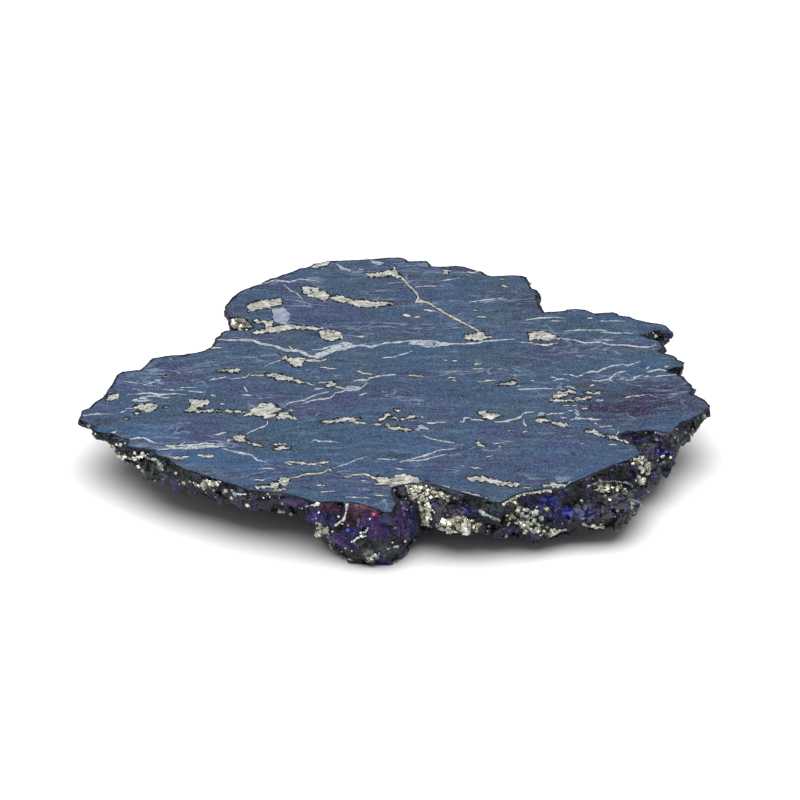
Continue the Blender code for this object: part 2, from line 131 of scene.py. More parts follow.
# Patches of the broken front: paint, then middle and half-size of the patch in the picture.
ROCK_PATCHES = [
    ("green black", 110, 441, 14, 8), ("charcoal", 122, 449, 9, 6), ("dark crust", 131, 457, 15, 3.5),
    ("black", 138, 449, 12, 3), ("green black", 150, 471, 14, 10), ("pale bed", 160, 466, 3, 5),
    ("green black", 179, 475, 17, 7), ("black", 168, 466, 6, 5), ("crust", 206, 484, 13, 2.4),
    ("slate", 240, 495, 24, 6), ("charcoal", 222, 492, 10, 3), ("slate", 262, 497, 14, 4),
    ("plum", 276, 500, 18, 5), ("violet", 290, 504, 14, 6), ("charcoal", 300, 512, 14, 5),
    ("indigo", 322, 512, 12, 8), ("maroon", 330, 508, 16, 5), ("crust", 323, 531, 6, 4.5),
    ("violet", 312, 520, 8, 8), ("black", 338, 528, 6, 4), ("maroon", 362, 509, 20, 6),
    ("wine", 350, 519, 13, 8), ("violet", 368, 523, 13, 8), ("rose", 360, 507, 8, 3),
    ("magenta", 375, 513.5, 3.4, 1.8), ("bright blue", 315, 515, 2.6, 2.2),
    ("bright blue", 313, 521, 3.2, 2), ("blue", 351, 532, 8, 5), ("violet", 338, 541, 12, 9),
    ("indigo", 345, 546, 8, 5), ("pale bed", 368, 555, 8, 6), ("green black", 356, 556, 10, 6),
    ("slate", 389, 549, 14, 6), ("violet", 378, 528, 16, 12), ("indigo", 386, 522, 8, 8),
    ("black", 394, 503, 6, 12), ("violet", 402, 520, 6, 22), ("indigo", 412, 522, 6, 22),
    ("black", 398, 544, 8, 8), ("crust", 420, 492, 19, 8), ("crust", 427, 514, 7, 14),
    ("crust", 458, 525, 24, 9), ("plum", 456, 506, 24, 9), ("wine", 458, 512, 18, 5),
    ("indigo", 467, 511, 10, 6), ("dark crust", 515, 516, 16, 14), ("black", 494, 522, 14, 8),
    ("mixed", 530, 522, 13, 14), ("slate", 500, 506, 18, 7), ("blue violet", 548, 503, 15, 8),
    ("indigo", 560, 515, 12, 8), ("bright blue", 567.5, 511.5, 5, 4.4), ("blue", 552, 499, 9, 4),
    # The black strip at 606, 471, under the overhanging edge of the face, is painted shade.
    ("grey green", 612, 490, 30, 9), ("black", 606, 471, 36, 6), ("crust", 636, 459, 8, 5),
    ("crust", 644, 468, 8, 6), ("crust", 641, 480, 7, 5), ("crust", 602, 489, 9, 5),
    ("dark crust", 622, 488, 9, 5), ("plum", 610, 510, 24, 9), ("slate", 636, 507, 8, 8),
    ("indigo", 585, 513, 14, 8), ("charcoal", 584, 500, 16, 5), ("crust", 551, 532, 13, 4),
    # The black patch at 650, 337 fills a notch at the back right: painted shade in its hollow.
    ("crust", 590, 526, 9, 1.6), ("black", 650, 337, 16, 5), ("charcoal", 690, 424, 18, 12),
    ("blue violet", 661, 453, 8, 4), ("black", 640, 447, 10, 6), ("slate", 672, 437, 12, 6),
    ("violet", 684, 414, 12, 4), ("rust", 246, 322, 17, 6),
]


def lumps(spot, size, shift=(0.0, 0.0, 0.0)):
    """Smooth noise round a spot, both in mm, from -1 to 1. A shift gives another noise."""
    return noise.noise(spot / size + Vector(shift))


def rock_paint(place, normal):
    """Colour of the broken rock at a place, and its shares of pyrite, quartz and smoothness.

    Rock that faces the front is painted in the traced patches, the rest in like colours at random.
    """
    spot = place / MM
    wide = noise.fractal(spot / 4.0, 1.0, 2.0, 3)
    fray = lumps(spot, 0.8)
    colour = PAINTS["green black"][0].lerp(PAINTS["indigo"][0], soft(0.45 + 1.6 * wide))
    colour = colour.lerp(PAINTS["charcoal"][0], soft(0.5 + 1.4 * lumps(spot, 1.7, (9.0, 0.0, 0.0))))
    colour = colour.lerp(PAINTS["violet"][0], soft(2.0 * lumps(spot, 2.6, (0.0, 31.0, 0.0)) - 0.3))
    crust = soft(3.0 * lumps(spot, 3.4, (0.0, 0.0, 17.0)) - 0.6)
    quartz = soft(3.0 * lumps(spot, 2.8, (5.0, 0.0, 0.0)) - 0.9)
    front = soft(5.0 * normal.dot(TOWARDS_VIEW) + 1.0)
    # Crusted rock turned away from the front takes the crust's colour, with its painted shade between the
    # grains.
    colour = colour.lerp(PAINTS["crust"][0], crust * (1.0 - front))
    shares = Vector((crust, quartz, soft(0.4 + wide))).lerp(Vector((0.2 * crust, 0.25 * quartz, 0.2)), front)
    u, v = seen_at(place)
    for paint, middle_u, middle_v, reach_u, reach_v in ROCK_PATCHES:
        away = math.hypot((u - middle_u) / reach_u, (v - middle_v) / reach_v)
        share = front * soft(2.2 * (1.1 - away) + 0.8 * fray)
        if share > 0.0:
            colour = colour.lerp(PAINTS[paint][0], share)
            shares = shares.lerp(Vector(PAINTS[paint][1:]), share)
    return colour, shares


def facets(spot, size):
    """Height of a field of flat, tilted facets of a given size, in mm."""
    cell = noise.voronoi(spot / size)[1][0]
    tilt = noise.noise_vector(cell * 5.17 + Vector((3.1, 7.7, 1.3)))
    return size * (0.75 * tilt.dot(spot / size - cell) + 0.3 * noise.noise(cell * 3.3))


def polished(face):
    """Whether a face of the solid is part of the polished face."""
    return face.normal.z > 0.999 and face.calc_center_median().z > FACE_LEVEL - LEVEL_WITHIN


def underside(face):
    """Whether a face looks down and away from the front."""
    return face.normal.z < -0.3 and face.normal.dot(TOWARDS_VIEW) < 0.2


def outwards(corner):
    """Normal of a corner, from the normals and areas of the faces round it."""
    return sum((face.normal * face.calc_area() for face in corner.link_faces), Vector()).normalized()


rock = bmesh.new()
rock.from_mesh(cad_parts["covellite_slab"].data)
bmesh.ops.remove_doubles(rock, verts=rock.verts, dist=SAME_PLACE)
bmesh.ops.delete(rock, geom=[face for face in rock.faces if polished(face)], context="FACES")

# The longest edges are split first, no two of one face at a time, until none is too long.
while True:
    rock.normal_update()
    long_edges = []
    for edge in rock.edges:
        longest = UNDERSIDE_FACET if all(underside(face) for face in edge.link_faces) else VISIBLE_FACET
        if edge.calc_length() > longest:
            long_edges.append((-edge.calc_length(), edge.index, edge))
    if not long_edges:
        break
    split, apart = set(), []
    for _, _, edge in sorted(long_edges):
        if split.isdisjoint(edge.link_faces):
            split.update(edge.link_faces)
            apart.append(edge)
    bmesh.ops.subdivide_edges(rock, edges=apart, cuts=1, use_single_edge=True)
    rock.edges.index_update()

# Each corner is painted and chipped. Those along the polished face become its worn edge, lowered, ragged and
# painted black as the shade of that edge.
tint = rock.verts.layers.float_color.new("tint")
shared = rock.verts.layers.float_vector.new("shares")
edge_shade = rock.verts.layers.float.new("edge_shade")
moved = {}
for corner in rock.verts:
    spot = corner.co / MM
    outward = outwards(corner)
    colour, shares = rock_paint(corner.co, outward)
    corner[tint] = (*colour, 1.0)
    corner[shared] = shares
    if spot.z < FOOT_HEIGHT:
        continue
    if any(edge.is_boundary for edge in corner.link_edges):
        wander = noise.noise_vector(spot / 1.1) + 0.5 * noise.noise_vector(spot / 0.35)
        drop = EDGE_DROP * (1.0 + 0.8 * noise.noise(spot / 1.6))
        moved[corner] = Vector((EDGE_RAGGED * wander.x, EDGE_RAGGED * wander.y, -drop))
        # The corners of the edge are painted black: painted shade of the rounded edge.
        corner[tint] = (*PAINTS["black"][0], 1.0)
        corner[edge_shade] = 1.0
        continue
    large, small = facets(spot, LARGE_CHIP), facets(spot, SMALL_CHIP)
    rise = (0.8 - 0.3 * shares.z) * large + (0.6 - 0.5 * shares.z) * small - CHIP_SINK
    rise += 0.8 * max(shares.x, shares.y) * facets(spot, CRUST_CHIP) + 0.04 * lumps(spot, 0.4)
    depth = FACE_LEVEL / MM - spot.z
    away_from_face = soft(depth / (0.5 + 0.9 * soft(2.0 * outward.y)))
    crust_drop = 0.5 * shares.x * (1.0 - soft(depth / 1.2))
    moved[corner] = outward * rise * away_from_face - Vector((0.0, 0.0, crust_drop))
low = [side / MM + INSIDE_BOX for side in cad_box[0]]
high = [side / MM - INSIDE_BOX for side in cad_box[1]]
for corner, move in moved.items():
    place = corner.co / MM + move
    place.x = min(max(place.x, low[0]), high[0])
    place.y = min(max(place.y, low[1]), high[1])
    place.z = min(max(place.z, LOWEST_CHIP), FACE_LEVEL / MM - BELOW_FACE)
    corner.co = place * MM
rock.normal_update()

slab = bpy.data.objects.new("covellite_rock", bpy.data.meshes.new("covellite_rock"))
bpy.context.scene.collection.objects.link(slab)


def node(tree, kind, **values):
    """A new node of a tree. Values named after its settings are set, and the others go to its sockets."""
    made = tree.nodes.new("ShaderNode" + kind)
    for name, value in values.items():
        if hasattr(made, name):
            setattr(made, name, value)
            continue
        socket = next(entry for entry in made.inputs if entry.name.replace(" ", "") == name)
        if isinstance(value, bpy.types.NodeSocket):
            tree.links.new(value, socket)
        else:
            socket.default_value = value
    return made


def blended(tree, share, low, high, mode="MIX"):
    """The colour between two others, each a socket or a colour."""
    mix = tree.nodes.new("ShaderNodeMix")
    mix.data_type = "RGBA"
    mix.blend_type = mode
    mix.clamp_factor = True
    for socket, value in ((mix.inputs["Factor"], share), (mix.inputs[6], low), (mix.inputs[7], high)):
        if isinstance(value, bpy.types.NodeSocket):
            tree.links.new(value, socket)
        elif isinstance(value, (int, float)):
            socket.default_value = value
        else:
            socket.default_value = (*value, 1.0)
    return mix.outputs[2]


def ramp(tree, value, low, high, bottom=0.0, top=1.0):
    """A value spread from low..high to bottom..top, with smooth ends."""
    spread = tree.nodes.new("ShaderNodeMapRange")
    spread.interpolation_type = "SMOOTHSTEP"
    tree.links.new(value, spread.inputs["Value"])
    for name, number in (("From Min", low), ("From Max", high), ("To Min", bottom), ("To Max", top)):
        spread.inputs[name].default_value = number
    return spread.outputs["Result"]


def in_mm(tree, across=1.0, back=1.0, up=1.0):
    """Object coordinates in millimetres, stretched by a factor along each axis."""
    coordinates = tree.nodes.new("ShaderNodeTexCoord")
    mapping = tree.nodes.new("ShaderNodeMapping")
    mapping.inputs["Scale"].default_value = (across / MM, back / MM, up / MM)
    tree.links.new(coordinates.outputs["Object"], mapping.inputs["Vector"])
    return mapping.outputs["Vector"]


def cloud(tree, where, scale, detail=3.0, rough=0.55):
    """A noise texture's value, from 0 to 1. The scale is in lumps per millimetre."""
    return node(tree, "TexNoise", Vector=where, Scale=scale, Detail=detail, Roughness=rough).outputs["Fac"]


def new_material(name):
    """A material with its tree and its Principled shader."""
    made = bpy.data.materials.new(name)
    made.use_nodes = True
    return made, made.node_tree, made.node_tree.nodes["Principled BSDF"]


def join(tree, output, socket):
    """Link an output to a socket."""
    tree.links.new(output, socket)


# Fine crystal grain: small cells, each with its own brightness round 1, and their relief.
grain = bpy.data.node_groups.new("crystal_grain", "ShaderNodeTree")
for name, kind, side in (
    ("Vector", "NodeSocketVector", "INPUT"), ("Scale", "NodeSocketFloat", "INPUT"),
    ("Contrast", "NodeSocketFloat", "INPUT"),
    ("Brightness", "NodeSocketFloat", "OUTPUT"), ("Height", "NodeSocketFloat", "OUTPUT"),
):
    grain.interface.new_socket(name=name, in_out=side, socket_type=kind)
grain_in = grain.nodes.new("NodeGroupInput")
grain_out = grain.nodes.new("NodeGroupOutput")
cells = node(grain, "TexVoronoi", Vector=grain_in.outputs["Vector"], Scale=grain_in.outputs["Scale"])
apart = node(grain, "SeparateColor", Color=cells.outputs["Color"])
centred = node(grain, "Math", operation="SUBTRACT")
join(grain, apart.outputs[0], centred.inputs[0])
centred.inputs[1].default_value = 0.5
stretched = node(grain, "Math", operation="MULTIPLY_ADD")
join(grain, centred.outputs[0], stretched.inputs[0])
join(grain, grain_in.outputs["Contrast"], stretched.inputs[1])
stretched.inputs[2].default_value = 1.0
join(grain, stretched.outputs[0], grain_out.inputs["Brightness"])
join(grain, cells.outputs["Distance"], grain_out.inputs["Height"])

# The painted colours are broken up by the grain, darkened by soot and veiled here and there by a pale film.
# Where the rock broke smooth there is less grain and soot, and more gloss.
rock_material, tree, shader = new_material("broken_covellite")
painted = node(tree, "Attribute", attribute_name="tint").outputs["Color"]
where = in_mm(tree)
shares = node(tree, "SeparateXYZ", Vector=node(tree, "Attribute", attribute_name="shares").outputs["Vector"])
even = shares.outputs["Z"]
crystals = node(tree, "Group", node_tree=grain)
join(tree, where, crystals.inputs["Vector"])
crystals.inputs["Scale"].default_value = 1.7
join(tree, ramp(tree, even, 0.2, 0.9, 1.0, 0.15), crystals.inputs["Contrast"])
lit = node(tree, "VectorMath", operation="SCALE")
join(tree, painted, lit.inputs[0])
join(tree, crystals.outputs["Brightness"], lit.inputs["Scale"])
sooty = node(tree, "Math", operation="MULTIPLY")
join(tree, ramp(tree, cloud(tree, where, 1.1, 4.0, 0.65), 0.50, 0.64, 0.0, 0.85), sooty.inputs[0])
join(tree, ramp(tree, even, 0.5, 1.0, 1.0, 0.45), sooty.inputs[1])
filmed = blended(tree, sooty.outputs[0], lit.outputs[0], tone(13, 14, 18))
filmed = blended(tree, ramp(tree, cloud(tree, where, 4.0), 0.63, 0.71, 0.0, 0.7), filmed, tone(112, 124, 130))
join(tree, filmed, shader.inputs["Base Color"])
join(tree, ramp(tree, even, 0.1, 0.9, 0.42, 0.2), shader.inputs["Roughness"])
shader.inputs["Metallic"].default_value = 0.4
relief = node(tree, "Bump", Strength=0.3, Distance=0.0001, Height=crystals.outputs["Height"])
join(tree, relief.outputs["Normal"], shader.inputs["Normal"])


# The polished face: one flat cut across the slab, indigo covellite in fine wavy layers. The bodies of
# pyrite and the pale veinlets that the cut crosses are part of the same surface, so the face is one net
# of triangles that follows their traced outlines, joined to the rock along its worn edge.

# Bodies of pyrite in the face: traced outlines in the picture, u, v, u, v and so on.
PYRITE_BODIES = [
    (248, 305, 256, 302, 268, 300, 281, 298, 282, 304, 270, 307, 258, 309, 249, 312),
    (263, 323.6, 269.7, 321, 273, 322.7, 271.4, 326, 278, 327, 283, 325, 292, 324.4, 297, 326,
     310, 326.6, 322.9, 327.9, 322, 329.6, 305, 329, 293, 328.7, 285, 330.4, 276, 332, 261, 333,
     252.6, 333.5, 255, 331.3, 264, 329.5, 266, 326.5),
    (313, 266, 320, 263.5, 328, 261.5, 331, 263.5, 322, 266.5, 315, 268),
    (253, 320.4, 257, 319.6, 261, 321.2, 263, 320.2, 268, 321.4, 272, 320.4, 273, 322, 269, 323.4,
     262, 322.6, 256, 323, 253, 322.4),
    (319, 331, 330, 330, 340, 332, 343, 338, 330, 341, 320, 338),
    (302.3, 286.7, 312.6, 286.4, 318.6, 288.4, 319.4, 291, 324.6, 291.3, 328.9, 295.3, 327.7, 299.2,
     322.9, 299.9, 316, 296.7, 309, 296, 303, 292),
    (329.7, 297, 336.6, 295.3, 342.6, 295.8, 344.3, 298.7, 347.7, 297.9, 353.7, 300.4, 357, 300,
     367.4, 300.4, 371.7, 302, 384.6, 301.6, 391.4, 302, 393, 304.7, 388, 304.4, 374.3, 307, 364, 307.3,
     357, 305.6, 350.3, 303.9, 346.9, 301.6, 340, 302, 332.3, 300),
    (367, 274, 376, 273.6, 386, 271, 393, 270, 394, 266, 397, 271, 401, 277, 397, 278.5, 391, 275,
     380, 276.5, 368, 276.5),
    (464, 335, 470, 334, 476, 333, 483, 332, 485, 336, 491, 337, 480, 341, 473, 340, 466, 338),
    (443, 270, 451, 270, 446, 274),
    (528, 334, 537, 331, 545, 332, 553, 335, 561, 338, 550, 340, 540, 339, 530, 339),
    (106.2, 398.8, 108.2, 395.7, 110.8, 394.9, 117.6, 394.4, 118.1, 396.2, 116.6, 398.8, 114.5, 399.9,
     106.2, 400.4),
    (134.2, 407.1, 137.3, 405.6, 139.4, 404.5, 145.6, 404, 152.9, 403.5, 156, 404, 157.1, 406.1,
     156.6, 408.2, 155, 409.2, 151.9, 410.3, 147.7, 411.3, 146.2, 412.3, 143.6, 411.3, 140.5, 409.7,
     137.3, 407.7),
    (133.2, 412.9, 137.3, 411.8, 141, 412.6, 137.3, 414.2, 134.2, 414.2),
    (123.8, 418, 127, 418, 129, 417.5, 128.5, 419, 124.9, 419),
    (163.3, 375.5, 168, 375.3, 167.5, 376.9, 164.4, 377.2),
    (184, 410.8, 189.8, 408.2, 190.3, 404, 188.8, 400.9, 193.4, 399.7, 203.8, 399.9, 206.4, 399.4,
     208, 400.9, 207.5, 404, 204.4, 405, 201.2, 407.1, 196.6, 407.7, 194.5, 408.7, 199.7, 409.7,
     214.2, 410, 230, 410.8, 245, 411.4, 245, 412.6, 230, 412.4, 214.2, 411.3, 199.7, 411.8,
     190.3, 411.3, 186, 411.6),
    (244.7, 415, 249, 412.3, 251, 409.2, 258.2, 406.6, 259.3, 404.5, 264.5, 403.5, 269.7, 403,
     273.8, 405, 277, 407.7, 281, 409.7, 277, 411.3, 273.8, 412.3, 276, 414.4, 270.7, 416.5, 268.6, 418,
     263.4, 418.6, 262.4, 416.5, 258.2, 415.5, 253, 414.4, 248, 415.2),
    (276.4, 419, 277, 416.5, 279, 414.4, 278, 412.9, 283.2, 411.5, 287.3, 412.3, 288.4, 414.4,
     292.5, 416.5, 297.7, 418.8, 291.5, 419.4, 285.3, 418, 281, 419.4),
    (216.3, 371.3, 220.5, 370.8, 224.6, 369.2, 231, 368.5, 238, 369, 241, 370.8, 238, 372.4, 231, 372.3,
     224, 372, 220, 371.8),
    (264.5, 374, 270, 373.7, 275, 374, 281, 374, 285, 375.5, 291.5, 378.5, 298, 379.6, 303, 381.7,
     306, 383.2, 300, 382.2, 291.5, 381, 283, 380, 275, 379, 270.7, 376.5, 266.5, 375),
    (279, 353.6, 283.2, 354.7, 287.3, 357.3, 293.6, 357.8, 301.9, 357.8, 305, 359.4, 304, 362,
     301.9, 365, 299.3, 367, 296.7, 366.6, 291.5, 365, 289.4, 361.4, 282, 359.9, 282.7, 357.3),
    (327, 385, 329, 382.5, 334, 381.8, 335.5, 384, 332, 386.5, 328, 388),
    (319.5, 421, 323.7, 420.6, 329, 421.8, 334, 420.2, 342.4, 418, 351.8, 418.2, 360, 417.5, 361, 419,
     353.8, 420.6, 347.6, 421.2, 339.3, 421.7, 331, 422.7, 324.7, 423),
    (378.3, 420, 379.4, 418, 383.5, 417.5, 385.6, 415, 388.7, 414.2, 389.7, 415.5, 386.6, 416.5,
     383.5, 420.6, 379.9, 421.7),
    (390.3, 419, 390.8, 417, 393.9, 417.5, 399, 418.6, 405.3, 418.4, 408.4, 416.5, 413.6, 415.7,
     418.8, 416.5, 413.6, 417.5, 408.4, 418, 403.2, 419.4, 397, 419.2),
    (381.4, 424.6, 387.7, 423.8, 390.8, 426.6, 393.9, 426.4, 401.2, 427.4, 408.4, 429, 411.6, 430,
     408.4, 430.6, 402.2, 430.8, 397, 430, 390.8, 429, 387, 426),
    (393.9, 410.3, 397.5, 409, 401.2, 410.5, 396, 411.3),
    (407.4, 413.4, 409.5, 412.3, 411, 412.9, 409, 413.8),
    (496, 383.8, 504, 383.2, 505, 382.7, 511.3, 382.2, 513.4, 380.6, 516.5, 380.4, 516.5, 382.2,
     513.4, 384.3, 508, 385.8, 505, 384.8),
    (477, 411.3, 482.2, 411.3, 490.5, 412.9, 503, 415.5, 494.7, 416.8, 492.6, 419, 484.3, 418.4,
     480, 415),
    (476, 443.5, 478.6, 442.7, 482.2, 444, 483.2, 445.6, 480, 446.6, 477, 445),
    (549.3, 398.6, 553.4, 397, 556, 394.7, 560.7, 391.6, 564.9, 391, 571, 390, 575.3, 391.6,
     574.2, 393.4, 570, 393, 567, 393.6, 564.9, 395.7, 559.7, 397.3, 555.5, 398.4),
    (546.2, 399.4, 556, 399.6, 569, 399.4, 580, 397.6, 592, 396.6, 591.5, 398.8, 580, 399.9, 569, 400.8,
     560, 401.4, 550.3, 400.9),
    (583, 392.6, 586.7, 392.6, 587.7, 391.6, 594, 392.4, 598, 391, 602.3, 391.6, 601.2, 394.7,
     597, 393.4, 591.9, 393.4, 585, 393.6),
    (535.3, 421.7, 537.3, 419, 542, 418.6, 546.2, 419.6, 551.4, 420.6, 558.6, 422.7, 565.9, 424,
     572, 426.9, 569, 427.4, 561.8, 425.8, 554.5, 424, 548.2, 421.9, 542, 420.9, 537.3, 421.9),
    (585, 429.8, 591.9, 430.2, 594, 429, 598, 431, 600.2, 433.6, 606.4, 435.6, 608.5, 435.6,
     614.7, 436.2, 618.9, 438.2, 623, 439.8, 628.2, 439.9, 634.5, 442.3, 628.2, 443, 622, 441.8,
     616.8, 439.6, 608.5, 437.6, 602.3, 437, 596, 435, 593, 432.9, 587.7, 432),
    (465, 478, 475, 476, 485, 477, 497, 480, 505, 482, 519, 483, 519, 487, 508, 486, 495, 483.5,
     480, 480.5, 470, 480.5),
    (374, 479, 380, 476, 387, 478, 393, 479, 397, 475.5, 402, 474.5, 409, 475, 415, 478, 423, 481,
     432, 484, 438, 486, 444, 489, 450, 491, 446, 493, 438, 491, 430, 488.5, 420, 487, 410, 485,
     404, 484, 398, 486, 390, 484.5, 382, 484, 376, 481),
    (452, 490, 465, 492.4, 480, 495, 488, 498.6, 478, 500, 470, 498.4, 455, 493),
    (541, 485.5, 552, 483.5, 562, 484, 570, 482, 569, 485, 558, 487.4, 545, 486.8),
    (235, 435.7, 240.6, 435.2, 243.7, 436.2, 242.7, 438.3, 246.8, 441, 251, 443, 256.2, 444, 263, 446,
     259.3, 447, 254, 445.6, 249, 444, 244.7, 441.4, 239.5, 441, 235, 440.4),
    (254, 486.6, 262, 485, 270, 485.6, 271, 487.4, 262, 487.8, 256, 487.8),
    (271, 483, 276, 481.6, 279, 484, 277, 488, 272, 487.6),
    (278, 479.4, 283, 477.4, 288, 478.6, 289, 483, 286, 486.6, 281, 484.6),
    (273, 489.4, 281, 488.2, 287, 489, 281, 490.6), (272, 444.6, 275, 443, 277, 444.5, 274, 445.6),
    (279, 443.6, 287, 443.2, 286, 444.4, 280, 444.8),
    (273, 448.6, 282, 447, 291, 447, 290, 449, 281, 449.6),
    (164.9, 406, 168.5, 406.6, 168, 408, 165, 407.6),
]

# Thin streaks of pyrite: thickness in the picture, then the traced line.
PYRITE_STREAKS = [
    (2.4, 401, 277, 405, 281, 409, 286, 414, 290, 417, 294, 418, 298, 415, 303),
    (1.6, 415, 301.5, 422, 302, 429, 302),
    (2.0, 418, 298, 425, 303, 428, 302, 434, 306, 440, 310, 445, 313, 450, 316, 462, 322, 473, 328,
     480, 332),
    (1.7, 424, 310, 435, 311), (2.3, 403, 315, 411, 316), (1.8, 414, 317, 420, 317),
    (1.2, 467, 272, 472, 273, 480, 271), (1.1, 499, 279, 504, 279), (1.2, 501, 285, 508, 287),
    (1.0, 472, 310, 478, 310), (1.1, 477, 317, 486, 317), (1.4, 519, 342, 530, 343, 545, 345, 558, 343),
    (1.2, 587, 318, 593, 318), (1.8, 305, 359.9, 310, 360.4, 318.5, 360.9, 324.7, 359.9, 327, 359.4),
    (1.4, 319.5, 367, 328, 368, 336.7, 369), (1.5, 357.5, 371.3, 363, 373, 372.5, 374.6),
    (1.4, 307, 383, 315, 385.2), (1.7, 335, 386.5, 339, 387, 345.5, 389), (1.7, 373.6, 424.1, 381, 424.3),
    (1.7, 353, 421.7, 360, 423, 366, 423.3), (1.4, 420.4, 416.6, 424, 417.6),
    (1.2, 408.4, 375.5, 414.7, 375.7, 419.9, 376, 424.5, 376.3), (0.9, 447, 377.7, 456.2, 377.7),
    (1.4, 452, 380, 457.3, 380.6), (1.2, 477.5, 381.7, 482.7, 382, 485.3, 380.6, 495.2, 380.1),
    (1.2, 469.7, 467, 482, 468.4), (1.3, 210, 347.5, 222, 347.5), (1.2, 255, 480, 265, 480),
    (1.1, 273, 491, 278, 491),
    (1.6, 289, 478, 297, 477, 306, 474, 312, 474, 322, 473, 326, 471, 329, 469, 332, 472),
    (1.6, 343, 476, 350, 477, 352, 475, 365, 474, 372, 477, 380, 480, 390, 481, 405, 480),
    (1.2, 375, 484, 385, 484), (1.4, 390, 478, 400, 475, 410, 478, 417, 480), (1.3, 390, 486, 398, 485),
    (1.0, 360, 481, 366, 481), (1.0, 317, 485, 325, 485), (2.1, 168, 457, 180, 458, 189, 456.4),
    (2.3, 198, 455, 207, 456.6, 214, 456), (1.9, 287, 461, 300, 463, 312, 464, 322, 463, 330, 461),
    (1.1, 320, 465, 323, 468), (1.4, 522, 488, 530, 487.4),
    (1.2, 625.6, 397.6, 631.4, 396.2, 637.6, 395.7, 644.9, 394.7), (1.2, 355, 336, 364, 337),
    (1.1, 358, 269, 364, 270), (1.6, 287, 346, 293, 349), (2.0, 523, 432, 527.4, 432),
    (1.2, 508, 431.3, 511.5, 431.3), (1.1, 444, 360.3, 448, 360.3), (1.1, 452.5, 360.8, 456.5, 360.8),
    (1.4, 474, 363.7, 481.7, 364), (1.3, 473.4, 368.8, 483.8, 368.8),
    (1.8, 164.9, 445, 168.5, 445.6, 173.7, 447.1, 177.9, 447.7),
    (1.2, 250, 375.8, 257, 374.9, 264, 375.6), (1.5, 169, 359, 172, 359.2), (1.3, 220, 404, 224, 404),
    (1.2, 517, 386.6, 521, 385.6), (1.2, 290, 410.2, 293, 410.4), (1.4, 590, 385.8, 594, 384.6),
    (1.2, 563, 405.6, 569, 405.2), (1.1, 573, 405.6, 578, 404.2), (1.1, 582, 408.6, 588, 408.6),
]

